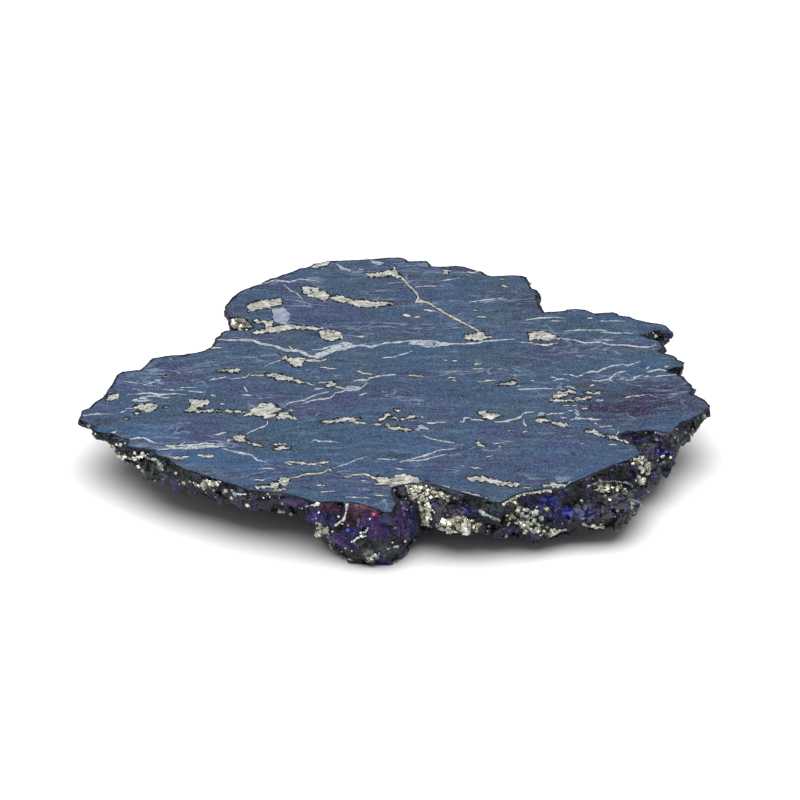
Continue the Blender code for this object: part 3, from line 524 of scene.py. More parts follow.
# Pale blue and white veinlets: thickness in the picture, then the traced line.
VEINLETS = [
    (2.3, 216, 339, 225, 340, 240, 340, 252, 340, 262, 344, 275, 346, 285, 350, 300, 351, 310, 356,
     318, 357, 330, 352, 340, 347, 352, 346, 362, 345, 372, 347, 378, 345, 385, 343, 400, 342, 420, 340),
    (1.4, 440, 343, 460, 344, 478, 343, 485, 341, 500, 340, 515, 339),
    (1.4, 560, 338, 575, 340, 585, 343, 600, 342, 610, 345, 625, 345, 640, 347, 650, 347, 656, 345),
    (1.4, 312, 350, 322, 349, 335, 345, 345, 342, 352, 345),
    (1.1, 258, 285, 275, 280, 290, 282, 300, 279, 318, 281),
    (1.0, 283, 284, 290, 290, 298, 294, 303, 300), (1.1, 414, 287, 425, 286, 438, 286),
    (0.9, 468, 302, 485, 300, 503, 298), (0.9, 440, 281, 460, 278),
    (0.9, 382, 358, 388, 357.3, 394, 357, 399, 355.2, 405, 353.6, 408, 352.6, 413, 350.5),
    (1.2, 525, 320, 540, 318, 556, 317, 565, 318), (0.9, 550, 321, 566, 321),
    (1.1, 563, 331, 580, 330, 600, 330, 608, 331), (1.0, 600, 332, 615, 333, 635, 333),
    (1.0, 600, 340, 615, 340), (0.9, 600, 321, 625, 321),
    (1.3, 562.3, 374.2, 570, 374.4, 574.2, 376, 577.3, 376.8, 581.5, 375, 585.6, 372.9, 591.9, 371.3,
     598, 372, 602.3, 369.2, 608.5, 367, 612.7, 365.8, 618.9, 365, 622, 363.8, 627.2, 365.6, 632.4, 364,
     640.7, 361.4),
    (1.4, 549.8, 377.2, 554.5, 377.5, 556.6, 379, 562.8, 378.9, 569, 380.6),
    (1.0, 553, 380.4, 559.7, 380.1), (1.3, 530.6, 380.5, 534.4, 380.5),
    (1.5, 591.9, 380.3, 597, 381, 604.4, 379.9, 608.5, 379.3, 612.7, 376.5, 615.8, 373.4, 620, 372.3,
     626.2, 371),
    (1.2, 608.5, 379.3, 613.2, 381.2), (1.1, 616.8, 379.6, 622, 379, 625, 378.6),
    (1.5, 625, 380.4, 630.3, 379.6, 633.4, 380, 634.5, 377, 639.7, 375.5, 644.4, 374.7),
    (1.3, 646, 369.2, 648, 367, 650, 366.6),
    (1.3, 647, 372, 651, 371.3, 655.3, 370, 659.4, 369.2, 662.5, 369.7, 667, 371),
    (1.0, 655.3, 376.5, 660.5, 375.8, 670.8, 375, 677, 374.4), (1.3, 644, 376.5, 649, 376),
    (1.5, 664.6, 366.8, 669, 366.6), (1.0, 668.8, 394.7, 680, 393.5), (1.2, 649, 395.4, 653, 395.4),
    (1.3, 516, 389.4, 530, 389, 541, 388.4, 553, 388.6),
    (1.1, 563.8, 386.4, 570, 386.6, 574.2, 388.4, 576.3, 390),
    (1.6, 493.6, 421.7, 498.8, 422.2, 504, 421.2, 508.2, 420.6, 512.3, 419.4, 515, 419, 521.2, 416.5,
     523.3, 413.4, 528.5, 412.3, 534.7, 411.8),
    (1.6, 459.4, 422.2, 463.5, 421.7, 464.5, 418, 469.7, 417.5, 471.8, 419.6, 479, 419.8, 483.2, 420.6),
    (1.2, 523.8, 418.6, 523.2, 421.7, 524.8, 424.3, 526.9, 426.4),
    (1.2, 546, 415, 552.4, 413.6, 561.8, 413.4, 564.9, 412.3), (1.2, 568, 410.6, 573.2, 410.6),
    (1.4, 574.7, 409.2, 577.3, 411.3, 580, 413.6), (1.4, 559.7, 416.5, 562.8, 418, 567, 417.5),
    (1.7, 570, 419.8, 575.3, 419, 581.5, 418.6, 590.8, 418.6, 594, 419.5, 601, 419.5),
    (1.6, 594.5, 422.7, 598, 424.8), (1.0, 599, 426.9, 604.4, 426.4, 612.7, 425.8),
    (1.2, 609, 429.5, 614.7, 429.5), (1.0, 615.8, 435.7, 617.9, 433, 618.9, 430.5),
    (1.1, 376.2, 459.6, 383.5, 458.8, 390.8, 459.6, 398, 459),
    (1.4, 402, 461, 410, 459.6, 418.8, 457, 426, 455, 432.3, 452.9, 437.5, 450.8, 441.7, 449.7,
     449, 449.2, 456.2, 448.2),
    (1.1, 399, 462.2, 404.3, 460.8, 411.6, 460.8, 422, 460.4, 426, 459.6, 432.3, 457.5, 438.6, 456,
     446.9, 453.9),
    (1.2, 421, 435.2, 426, 436.8, 431.3, 438.8, 436.5, 439.9, 442.7, 441.4, 449, 442, 455.2, 443),
    (1.5, 426, 422.7, 432.3, 423.2, 437.5, 422.2, 445.8, 422.2),
    (0.9, 333, 468, 347, 464, 358, 459, 368, 456), (1.2, 395, 468, 403, 469.5),
    (1.2, 310, 442.5, 315.4, 439.4, 318.5, 441.4, 324.7, 441.4, 333, 441.6, 338.2, 442.5),
    (1.5, 243.7, 386.4, 246, 389.5, 247.3, 392), (0.9, 240.6, 394.7, 253, 395.5),
    (0.9, 231, 379, 238.5, 378, 245.8, 377, 250, 373.4),
    (0.8, 264.5, 366, 270.7, 363.5, 277, 361.4, 281, 360),
    (1.2, 267, 420.6, 267.6, 423.2, 264.5, 426.4, 260.3, 427.4, 255, 430, 251, 431.6, 245.8, 434.2),
    (1.4, 352.8, 381, 359, 380, 366.8, 380, 370.5, 378, 374.6, 377.2, 378.8, 375.9, 388.7, 374.9,
     396, 374.6),
    (1.2, 367, 382.2, 365, 385, 362, 387.4),
    (1.3, 346, 390, 342.4, 391.6, 335, 393, 333, 395.7, 330, 397.8, 324.7, 398.8, 318.5, 399.4,
     311, 400.6, 307, 402.3, 302, 403.5),
    (1.3, 329, 391.6, 322.7, 393, 316.4, 394.7, 312.3, 396.2, 308, 398.3, 303, 400.6, 297.7, 401,
     292.5, 402, 287.9, 403.5, 286.3, 405.6, 281.6, 407.7),
    (1.1, 313, 390, 318, 388.6, 324, 388.4), (1.2, 318.5, 382.4, 327, 382.2, 333, 382),
    (0.9, 359, 395.2, 367.3, 393),
    (1.2, 127, 394.7, 133.2, 394.2, 139.4, 393.6, 143.6, 393.1, 151.9, 393.1, 156, 394.2, 164.4, 394.2,
     172.7, 393.6, 178.9, 393.9, 187.2, 394.7),
    (1.5, 139.4, 398, 143.6, 396.8, 147.7, 396, 151.9, 395.7, 158, 395.4, 164.4, 394.9),
    (1.1, 157, 396.2, 164.4, 397.8, 169.5, 397.6),
    (1.2, 162.3, 389.5, 168.5, 389.8, 174.7, 390, 184, 389.7),
    (1.0, 188.2, 390.5, 193.4, 391.5, 199.7, 392.1, 206, 392.1),
    (0.9, 178.9, 387.9, 185, 387.2, 191.4, 387.4, 197.6, 387.4), (1.3, 211, 394.7, 216.3, 396.4),
    (1.2, 208.5, 380.4, 213.2, 379, 220.5, 378, 226.7, 376.8),
    (1.0, 124.4, 381.2, 131, 382.2, 137.3, 383, 143, 383.8),
    (1.1, 143, 384.8, 147.7, 383.8, 151.9, 382.7, 156, 380.6, 161.2, 379.6),
    (1.7, 131.6, 400.6, 137.3, 400.9, 142.5, 400.9, 151.9, 399.9), (1.0, 125, 409, 129, 408, 133, 408.6),
    (1.1, 120.2, 412.9, 123.8, 411.3, 127, 410.8),
    (1.6, 82, 416, 84, 415.5, 88.5, 414.9, 95.8, 413.9, 103, 413.6, 110.3, 414.2),
    (1.5, 128, 440.2, 131, 438.8, 137.3, 438, 142.5, 437.5, 146.7, 438.8, 149.8, 440.9, 154, 442.5,
     157, 443.5),
    (1.4, 111.4, 432.4, 115, 432, 116.6, 430.5, 117.6, 429.5),
    (1.9, 157, 449.4, 161.2, 449.2, 168.5, 448.7, 174.7, 448.2, 183, 447.7, 189.3, 447.1, 195.5, 447.1,
     201.8, 446.6, 209, 446.1, 215.3, 446.6, 228, 445.6),
    (1.1, 165, 446, 185, 445.4, 205, 443.6, 225, 444.2), (0.9, 180, 445.6, 184, 442.5, 186.7, 441.4),
    (1.4, 198.6, 444, 203.8, 443, 208, 442.5),
    (1.4, 213.7, 434.7, 218.4, 434.4, 222.5, 433.1, 226.2, 432.6), (1.3, 226.7, 441.4, 230.8, 439.4),
    (1.5, 220.5, 448.2, 225.6, 449.2, 230.8, 450.8, 235, 451.8, 247, 454, 252, 455, 257, 460, 267, 462),
    (1.1, 258, 469, 268, 468, 275, 469), (1.2, 284, 462, 292, 465), (0.9, 320, 492, 335, 491),
    (0.9, 345, 497, 370, 498), (0.8, 372, 495, 388, 496), (1.1, 493, 444, 505, 442, 509.2, 441.6),
    (1.3, 498, 446.6, 502, 446.6), (0.9, 485.3, 457, 493.6, 455.5), (1.5, 580.5, 443.7, 584, 443.7),
    (1.0, 608, 444.4, 617, 444.6),
]

# Wider granular parts of the veinlets: traced outlines in the picture.
VEINLET_BODIES = [
    (312, 356.5, 318, 352.5, 326, 350, 334, 346, 342, 342, 348, 341.5, 352, 344, 353, 347, 346, 350,
     338, 350.5, 330, 353.5, 322, 357.5, 316, 358.5),
    (410, 341.5, 420, 339.5, 424, 341, 424, 345, 415, 345, 408, 344),
    (438, 342, 448, 342.5, 456, 344, 448, 345.5, 440, 346),
    (178, 447.5, 190, 445.5, 203, 445, 214, 445, 218, 446.5, 205, 448, 190, 449.4, 180, 449.5),
    (574, 411.5, 577, 412.5, 580, 415, 578, 416, 575, 414.5),
    (139, 398, 146, 396.2, 150, 396, 149, 398, 144, 399.4, 140, 399.6),
    (497, 421.5, 505, 420.8, 511, 420, 509, 421.8, 500, 422.8),
]

# Grey lavender bodies: traced outlines in the picture.
LAVENDER_BODIES = [
    (272, 309, 284, 307, 290, 314, 287, 325, 274, 322),
    (420, 340, 430, 339.5, 440, 341, 440, 347, 428, 348, 421, 346),
    (539, 412.3, 541, 411.3, 545, 412.9, 543, 415.5, 537.3, 415.7),
    (414.7, 430, 418.8, 427.4, 416.8, 425.3, 422, 424.3, 426, 426.9, 430.3, 429, 426, 429.8, 421, 429.2,
     417.8, 431),
    (344.5, 390, 346.5, 386.4, 351.8, 385.3, 357, 386.4, 362, 387.4, 361, 389, 356, 391, 349.7, 391.6),
    (334, 262.4, 338, 263.6, 343, 267, 352, 270, 351, 272, 341, 269.6),
    (371, 260.6, 380, 261, 385, 263.4, 379, 265, 372, 263),
    (575.3, 419, 575.3, 416, 581.5, 417.7, 590.8, 418, 591.9, 416.5, 593.4, 419.4, 591.9, 421,
     587.7, 419.4),
    (596, 400, 603, 399, 604, 401, 597, 402), (131.6, 400.6, 135.3, 398.3, 138.4, 398.8, 137.3, 400.9),
    (441, 485, 450, 486, 449, 488, 443, 487),
]

# Small pits and dark spots, and the brightest glints.
DARK_SPOTS = [
    (309.6, 289.4, 312.4, 289.4, 312, 291.2, 310, 291.2), (432.6, 343, 435.6, 343, 435.4, 345, 433, 345),
    (151, 406.2, 152.6, 406.4, 152.2, 407.6, 150.8, 407.6),
    (570.6, 452.4, 574, 452, 575.6, 454.4, 573.6, 456.2, 571, 455.4),
    (593, 454.4, 595.4, 454.4, 595, 456, 593.2, 456), (563.6, 400.6, 567, 400.4, 566, 403.4, 564, 403),
    (248.6, 413, 250, 410.2, 251, 409.8, 250.2, 412.6),
    (271, 412.9, 275, 412.2, 277.6, 413.6, 273.8, 414.2),
]
WHITE_GLINTS = [
    (485.3, 417, 487, 415.4, 489.5, 415.4, 493.6, 417.5, 492.6, 419.6, 489.5, 419.4),
    (565, 400.2, 567.4, 400, 567, 401.2, 565.2, 401.4),
]

SEAM = 1.25                 # width of the dark seam round each body of pyrite, in pixels
STREAK_SEAM = 0.8           # how far the seams of pyrite streaks, veinlets and pale bodies reach, in pixels
VEINLET_SEAM = 0.45
PALE_SEAM = 0.5
BODY_STEP = 0.8             # spacing of points along pyrite bodies, other bodies and veins, in pixels
OUTLINE_STEP = 1.0
VEIN_STEP = 1.4
STREAK_EXTRA = 0.15         # how much thicker streaks and veinlets are than traced, on each side, in pixels
VEINLET_EXTRA = 0.12
FACE_NET = 0.95             # spacing of the plain points of the face, in mm
FACE_REACH = 52.0           # how far they go to the front and to the back, in mm
ROUNDING = 0.16             # how wide the rounding of the worn edge is, in mm
# The dark border along the edge is painted shade of the rounded edge.
BORDER_FADES = 0.46         # where the dark border along the edge starts to fade, in mm inwards
BORDER_ENDS = 0.66          # where it ends
CLEAR_OF_EDGE = 0.34        # least distance of a body or veinlet from the edge, in mm
RAGGED_BODY = 0.42          # how far the traced outlines of each kind of mineral wander, in mm
RAGGED_STREAK = 0.16
RAGGED_VEINLET = 0.08
RAGGED_PALE = 0.15
RAGGED_PIT = 0.02
RAGGED_GLINT = 0.04


def on_face(u, v):
    """Place on the polished face, in mm, that shows at a position of the picture."""
    up = (VIEW_CENTRE - v) / VIEW_FOCAL
    back = up * VIEW_DISTANCE / (math.sin(VIEW_UP) - up * math.cos(VIEW_UP))
    depth = VIEW_DISTANCE + back * math.cos(VIEW_UP)
    return Vector((VIEW_TARGET.x + (u - VIEW_CENTRE) * depth / VIEW_FOCAL, VIEW_TARGET.y + back)) / MM


def along(flat, spacing, closed=False):
    """Evenly spaced points along a traced row of u, v, u, v and so on."""
    corners = [Vector(flat[start:start + 2]) for start in range(0, len(flat), 2)]
    if closed:
        corners.append(corners[0])
    run = []
    for start, end in zip(corners, corners[1:]):
        steps = max(1, round((end - start).length / spacing))
        run += [start.lerp(end, step / steps) for step in range(steps)]
    return run if closed else run + [corners[-1]]


def face_lumps(spot, across, back, layer):
    """Smooth noise on the face, from -1 to 1, in lumps of a width and depth. Layers differ."""
    return noise.noise(Vector((spot.x / across, spot.y / back, layer)))


def grown(outline, width):
    """A closed outline moved outwards by a width, both in pixels."""
    middle = sum(outline, Vector((0.0, 0.0))) / len(outline)
    area = sum(a.x * b.y - b.x * a.y for a, b in zip(outline, outline[1:] + outline[:1]))
    side = 1.0 if area > 0.0 else -1.0
    made = []
    for index, here in enumerate(outline):
        run = outline[(index + 1) % len(outline)] - outline[index - 1]
        if run.length < 1e-6:
            run = here - middle
            run = Vector((-run.y, run.x))
        made.append(here + side * width * Vector((run.y, -run.x)).normalized())
    return made


def ribbon(row, extra=0.0):
    """Closed outline, in pixels, of a vein from its thickness and line. It thins out to its ends."""
    path = along(row[1:], VEIN_STEP)
    left, right = [], []
    for index, here in enumerate(path):
        share = index / (len(path) - 1)
        run = (path[min(index + 1, len(path) - 1)] - path[max(index - 1, 0)]).normalized()
        swell = 0.95 + 0.8 * face_lumps(here, 5.0, 5.0, row[0])
        half = 0.5 * row[0] * max(0.12, swell * (4.0 * share * (1.0 - share)) ** 0.4) + extra
        left.append(here + half * Vector((-run.y, run.x)))
        right.append(here - half * Vector((-run.y, run.x)))
    return left + right[::-1]


def ragged(outline, reach):
    """An outline in pixels laid on the face in mm, with the uneven edge of a grown mineral."""
    laid = []
    for u, v in outline:
        spot = on_face(u, v)
        shake = noise.noise_vector(Vector((spot.x / 0.5, spot.y / 0.9, 4.0)))
        shake += 0.6 * noise.noise_vector(Vector((spot.x / 0.2, spot.y / 0.4, 6.0)))
        laid.append(spot + reach * Vector((shake.x, 1.6 * shake.y)))
    return laid


# The rim: the open edge of the rock, corner by corner, anticlockwise from above.
edge_of = {}
for edge in rock.edges:
    if edge.is_boundary:
        for corner in edge.verts:
            edge_of.setdefault(corner, []).append(edge)
first = next(iter(edge_of))
rim = [first]
step = edge_of[first][0]
while True:
    corner = step.other_vert(rim[-1])
    if corner is first:
        break
    rim.append(corner)
    step = next(edge for edge in edge_of[corner] if edge is not step)
rim_line = [Vector((corner.co.x, corner.co.y)) / MM for corner in rim]
turn = sum(a.x * b.y - b.x * a.y for a, b in zip(rim_line, rim_line[1:] + rim_line[:1]))
if turn < 0.0:
    rim.reverse()
    rim_line.reverse()

rim_tree = KDTree(len(rim_line))
for index, spot in enumerate(rim_line):
    rim_tree.insert((spot.x, spot.y, 0.0), index)
rim_tree.balance()


def within(outline, spots):
    """Which of many places in mm lie inside a closed outline."""
    starts, spots = np.array(outline), np.asarray(spots)
    ends = np.roll(starts, -1, axis=0)
    turns = np.zeros(len(spots), int)
    near = (spots >= starts.min(axis=0)).all(axis=1) & (spots <= starts.max(axis=0)).all(axis=1)
    x, y = spots[near, 0], spots[near, 1]
    found = np.zeros(len(x), int)
    for (ax, ay), (bx, by) in zip(starts, ends):
        if ay == by:
            continue
        crossed = ((ay <= y) != (by <= y)) & (x < ax + (y - ay) / (by - ay) * (bx - ax))
        found += np.where(crossed, 1 if by > ay else -1, 0)
    turns[near] = found
    return turns != 0


def inward(index, reach=3):
    """Direction from a point of the rim towards the middle of the face."""
    run = rim_line[(index + reach) % len(rim_line)] - rim_line[index - reach]
    return Vector((-run.y, run.x)).normalized()


# Outlines of all that shows in the face, in mm. Where they overlap, the kind that comes later shows.
KINDS = ["covellite", "seam", "lavender", "veinlet", "pyrite", "dark", "white"]
shapes = [("covellite", rim_line)]
for row in PYRITE_BODIES:
    outline = along(row, BODY_STEP, closed=True)
    shapes.append(("seam", ragged(grown(outline, SEAM), RAGGED_BODY)))
    shapes.append(("pyrite", ragged(outline, RAGGED_BODY)))
for row in PYRITE_STREAKS:
    shapes.append(("seam", ragged(ribbon(row, STREAK_SEAM), RAGGED_STREAK)))
    shapes.append(("pyrite", ragged(ribbon(row, STREAK_EXTRA), RAGGED_STREAK)))
for row in VEINLETS:
    shapes.append(("seam", ragged(ribbon(row, VEINLET_SEAM), RAGGED_VEINLET)))
    shapes.append(("veinlet", ragged(ribbon(row, VEINLET_EXTRA), RAGGED_VEINLET)))
for kind, bodies in (("veinlet", VEINLET_BODIES), ("lavender", LAVENDER_BODIES)):
    for row in bodies:
        outline = along(row, OUTLINE_STEP, closed=True)
        shapes.append(("seam", ragged(grown(outline, PALE_SEAM), RAGGED_PALE)))
        shapes.append((kind, ragged(outline, RAGGED_PALE)))
for row in DARK_SPOTS:
    shapes.append(("dark", ragged(along(row, OUTLINE_STEP, closed=True), RAGGED_PIT)))
for row in WHITE_GLINTS:
    shapes.append(("white", ragged(along(row, OUTLINE_STEP, closed=True), RAGGED_GLINT)))

# Points of the outlines that come too near to the edge are drawn back from it.
drawn = [spot for _, outline in shapes[1:] for spot in outline]
for spot, inside in zip(drawn, within(rim_line, drawn)):
    _, index, away = rim_tree.find((spot.x, spot.y, 0.0))
    if not inside or away < CLEAR_OF_EDGE:
        spot.xy = rim_line[index] + CLEAR_OF_EDGE * inward(index)

# Plain points: three rows along the edge, and a loose net over the whole face.
inner = []
for index in range(len(rim_line)):
    inner += [rim_line[index] + width * inward(index) for width in (ROUNDING, BORDER_FADES, BORDER_ENDS)]
rows = int(FACE_REACH / FACE_NET)
for row in range(-rows, rows + 1):
    for column in range(-int(1.1 * rows), int(1.1 * rows) + 1):
        shift = 0.25 * noise.noise_vector(Vector((row * 1.3, column * 1.7, 2.0)))
        inner.append(Vector(((column + 0.5 * (row % 2) + shift.x) * FACE_NET, (row + shift.y) * FACE_NET)))


def clear(spots, gap):
    """Which of many places lie inside the edge and further from it than a gap, in mm."""
    pairs = zip(spots, within(rim_line, spots))
    return [inside and rim_tree.find((x, y, 0.0))[2] > gap for (x, y), inside in pairs]


# The net of triangles keeps the rim and every side of an outline that stays clear of it.
points = rim_line + [spot for spot, good in zip(inner, clear(inner, 0.8 * ROUNDING)) if good]
edges = [(index, (index + 1) % len(rim_line)) for index in range(len(rim_line))]
halfway = []
for _, outline in shapes[1:]:
    halfway += [(spot + after) / 2.0 for spot, after in zip(outline, outline[1:] + outline[:1])]
kept, joined = clear(drawn, 0.8 * CLEAR_OF_EDGE), clear(halfway, 0.8 * CLEAR_OF_EDGE)
numbers = []
for spot, good in zip(drawn, kept):
    numbers.append(len(points))
    points += [spot] if good else []
start = 0
for _, outline in shapes[1:]:
    for step in range(len(outline)):
        here, after = start + step, start + (step + 1) % len(outline)
        if kept[here] and kept[after] and joined[here]:
            edges.append((numbers[here], numbers[after]))
    start += len(outline)

made, _, triangles, from_points, _, _ = delaunay_2d_cdt(points, edges, [], 0, 1e-5)
centres = np.array([(made[a] + made[b] + made[c]) / 3.0 for a, b, c in triangles])
kinds = np.full(len(centres), -1)
for kind, outline in shapes:
    kinds = np.where(within(outline, centres), np.maximum(kinds, KINDS.index(kind)), kinds)
kinds[~within(rim_line, centres)] = -1
corners = []
for spot, origins in zip(made, from_points):
    old = [index for index in origins if index < len(rim)]
    corners.append(rim[old[0]] if old else rock.verts.new((spot.x * MM, spot.y * MM, FACE_LEVEL)))


# Broad changes of colour across the face: paint, middle and half-size in the picture, and strength.
FACE_PAINTS = {
    "blue": tone(68, 92, 126), "bright blue": tone(62, 100, 144), "steel": tone(70, 90, 112),
    "indigo": tone(58, 70, 110), "violet": tone(74, 74, 118), "plum": tone(54, 40, 68),
    "teal": tone(58, 88, 104), "brown": tone(76, 72, 72), "ink": tone(44, 50, 62),
}
FACE_PATCHES = [
    ("violet", 175, 368, 38, 12, 0.7), ("blue", 120, 390, 40, 16, 0.8),
    ("bright blue", 145, 432, 50, 10, 0.8), ("violet", 200, 428, 50, 14, 0.6),
    ("brown", 106, 423, 16, 4, 0.8), ("ink", 100, 420, 14, 2, 0.5), ("brown", 160, 421, 12, 3, 0.6),
    ("teal", 146, 419, 14, 5, 0.6), ("brown", 172, 374, 16, 2.5, 0.7),
    ("bright blue", 200, 455, 55, 8, 0.8), ("bright blue", 270, 465, 60, 12, 0.7),
    ("violet", 250, 392, 40, 14, 0.6), ("teal", 300, 430, 50, 10, 0.5), ("teal", 260, 352, 40, 8, 0.4),
    ("steel", 250, 320, 30, 18, 0.6), ("violet", 330, 310, 46, 18, 0.4), ("steel", 360, 285, 80, 24, 0.6),
    ("brown", 350, 362, 34, 5, 0.45), ("teal", 355, 356, 34, 8, 0.5), ("violet", 345, 402, 40, 12, 0.5),
    ("steel", 400, 320, 70, 20, 0.6), ("indigo", 395, 385, 60, 10, 0.4), ("teal", 440, 372, 50, 8, 0.4),
    ("violet", 440, 410, 40, 12, 0.4), ("brown", 470, 395, 22, 3, 0.4),
    ("bright blue", 430, 448, 60, 9, 0.6), ("ink", 402, 455, 14, 3, 0.6),
    ("violet", 505, 430, 40, 10, 0.6), ("indigo", 400, 470, 70, 12, 0.4),
    ("violet", 470, 470, 60, 14, 0.5), ("steel", 500, 360, 70, 22, 0.7), ("plum", 620, 408, 54, 18, 1.0),
    ("plum", 664, 397, 44, 22, 1.0), ("plum", 560, 300, 60, 12, 0.5), ("indigo", 330, 322, 60, 10, 0.6),
    ("violet", 330, 312, 60, 9, 0.5), ("violet", 570, 440, 40, 20, 0.6), ("brown", 585, 384, 26, 6, 0.7),
    ("ink", 645, 390, 9, 5, 0.7), ("teal", 620, 371, 44, 8, 0.6), ("bright blue", 640, 366, 30, 10, 0.5),
    ("bright blue", 598, 400, 16, 3, 0.7), ("steel", 590, 345, 60, 20, 0.7),
    ("violet", 540, 460, 40, 16, 0.5), ("bright blue", 555, 452, 30, 6, 0.5),
    ("violet", 350, 488, 60, 9, 0.5), ("ink", 450, 460, 18, 3, 0.4),
]

# Each corner inside the edge is painted, and marked with how much painted shade of the rounded edge it takes,
# less along the front edge.
for corner, spot in zip(corners, made):
    if corner in edge_of:
        continue
    u, v = seen_at(corner.co)
    colour = FACE_PAINTS["blue"].lerp(FACE_PAINTS["steel"], soft(0.5 + face_lumps(spot, 14.0, 6.0, 1.0)))
    for paint, middle_u, middle_v, reach_u, reach_v, strength in FACE_PATCHES:
        away = math.hypot((u - middle_u) / reach_u, (v - middle_v) / reach_v)
        if away < 1.4:
            fray = 0.7 * face_lumps(spot, 4.0, 1.6, 8.0)
            colour = colour.lerp(FACE_PAINTS[paint], strength * soft(1.2 - away + fray))
    _, index, away = rim_tree.find((spot.x, spot.y, 0.0))
    away *= 1.0 + 0.5 * face_lumps(spot, 1.5, 1.5, 3.0)
    corner[tint] = (*colour, 1.0)
    # Painted shade along the edge: full along the back and sides, weaker where the edge faces the front.
    border = soft((0.97 * BORDER_ENDS - away) / (BORDER_ENDS - BORDER_FADES))
    corner[edge_shade] = border * (1.0 - 0.7 * soft(0.55 + 0.7 * inward(index).y))

for triangle, kind in zip(triangles, kinds):
    if kind >= 0:
        face = rock.faces.new([corners[index] for index in triangle])
        face.material_index = 1 + int(kind)
loose = [corner for corner in rock.verts if not corner.link_faces]
bmesh.ops.delete(rock, geom=loose, context="VERTS")
rock.normal_update()
rock.to_mesh(slab.data)


def layered(tree, bend=1.0):
    """Coordinates in mm for the fine layers of the covellite, which run along X in slow waves."""
    plain = in_mm(tree)
    sway = cloud(tree, in_mm(tree, 0.035, 0.05, 0.05), 1.0, detail=2.0)
    lift = node(tree, "Math", operation="MULTIPLY_ADD")
    join(tree, sway, lift.inputs[0])
    lift.inputs[1].default_value = 14.0 * bend
    lift.inputs[2].default_value = -7.0 * bend
    apart = node(tree, "SeparateXYZ", Vector=plain)
    moved_y = node(tree, "Math", operation="ADD")
    join(tree, apart.outputs["Y"], moved_y.inputs[0])
    join(tree, lift.outputs[0], moved_y.inputs[1])
    together = node(tree, "CombineXYZ", X=apart.outputs["X"], Y=moved_y.outputs[0], Z=apart.outputs["Z"])
    return together.outputs["Vector"]


def stretched_cloud(tree, where, across, back, detail=4.0, rough=0.6):
    """A noise texture's value with its own number of lumps per millimetre across and back."""
    mapping = tree.nodes.new("ShaderNodeMapping")
    mapping.inputs["Scale"].default_value = (across, back, 1.0)
    tree.links.new(where, mapping.inputs["Vector"])
    return cloud(tree, mapping.outputs["Vector"], 1.0, detail, rough)


# Over the painted colours lie broad layers of violet and brighter blue, pale and dark streaks, hairlines
# where a stretched noise passes its middle value, and fine specks. The painted shade along the edge comes
# last.
face_material, tree, shader = new_material("polished_covellite")
painted = node(tree, "Attribute", attribute_name="tint").outputs["Color"]
layers = layered(tree, 0.45)
broad = stretched_cloud(tree, layers, 0.065, 0.16, 4.0, 0.6)
streaks = stretched_cloud(tree, layers, 0.22, 0.95, 6.0, 0.68)
wisps = stretched_cloud(tree, layers, 0.06, 0.16, 3.0)
specks = cloud(tree, in_mm(tree), 3.4, 2.0, 0.75)
colour = blended(tree, ramp(tree, broad, 0.49, 0.62, 0.0, 0.55), painted, tone(70, 62, 104))
colour = blended(tree, ramp(tree, broad, 0.45, 0.32, 0.0, 0.4), colour, tone(50, 88, 124))
colour = blended(tree, ramp(tree, streaks, 0.53, 0.68, 0.0, 0.6), colour, tone(108, 134, 162))
colour = blended(tree, ramp(tree, streaks, 0.47, 0.33, 0.0, 0.6), colour, tone(36, 42, 60))
thread_clouds = (
    stretched_cloud(tree, layers, 0.07, 0.5, 2.5, 0.5),
    stretched_cloud(tree, layered(tree, 1.8), 0.09, 0.35, 2.0, 0.5),
)
for threads in thread_clouds:
    line = node(tree, "Math", operation="SUBTRACT")
    join(tree, threads, line.inputs[0])
    line.inputs[1].default_value = 0.5
    line = node(tree, "Math", operation="ABSOLUTE", Value=line.outputs[0])
    drawn_line = node(tree, "Math", operation="MULTIPLY")
    join(tree, ramp(tree, line.outputs[0], 0.016, 0.004), drawn_line.inputs[0])
    join(tree, ramp(tree, wisps, 0.46, 0.60, 0.0, 0.7), drawn_line.inputs[1])
    colour = blended(tree, drawn_line.outputs[0], colour, tone(146, 170, 192))
colour = blended(tree, ramp(tree, specks, 0.52, 0.68, 0.0, 0.6), colour, tone(128, 148, 174))
colour = blended(tree, ramp(tree, specks, 0.49, 0.31, 0.0, 0.72), colour, tone(30, 38, 56))
# Painted shade along the edge of the face, dark where the corners are marked.
near_edge = node(tree, "Attribute", attribute_name="edge_shade").outputs["Fac"]
colour = blended(tree, ramp(tree, near_edge, 0.2, 0.9, 0.0, 0.92), colour, tone(18, 19, 25))
join(tree, colour, shader.inputs["Base Color"])
join(tree, ramp(tree, streaks, 0.3, 0.7, 0.26, 0.38), shader.inputs["Roughness"])
shader.inputs["Metallic"].default_value = 0.0
shader.inputs["Specular IOR Level"].default_value = 0.08
relief = node(tree, "Bump", Strength=0.12, Distance=0.00004, Height=specks)
join(tree, relief.outputs["Normal"], shader.inputs["Normal"])

# The minerals that the cut crosses, each mottled in two colours.
seam_material, tree, shader = new_material("dark_seam")
mottle = cloud(tree, in_mm(tree), 1.8)
colour = blended(tree, mottle, tone(8, 10, 15), tone(28, 33, 46))
join(tree, colour, shader.inputs["Base Color"])
shader.inputs["Roughness"].default_value = 0.45
shader.inputs["Specular IOR Level"].default_value = 0.15

lavender_material, tree, shader = new_material("lavender_grain")
mottle = stretched_cloud(tree, in_mm(tree), 0.9, 2.2)
colour = blended(tree, ramp(tree, mottle, 0.35, 0.65), tone(122, 138, 166), tone(184, 194, 208))
join(tree, colour, shader.inputs["Base Color"])
shader.inputs["Roughness"].default_value = 0.35
shader.inputs["Specular IOR Level"].default_value = 0.2

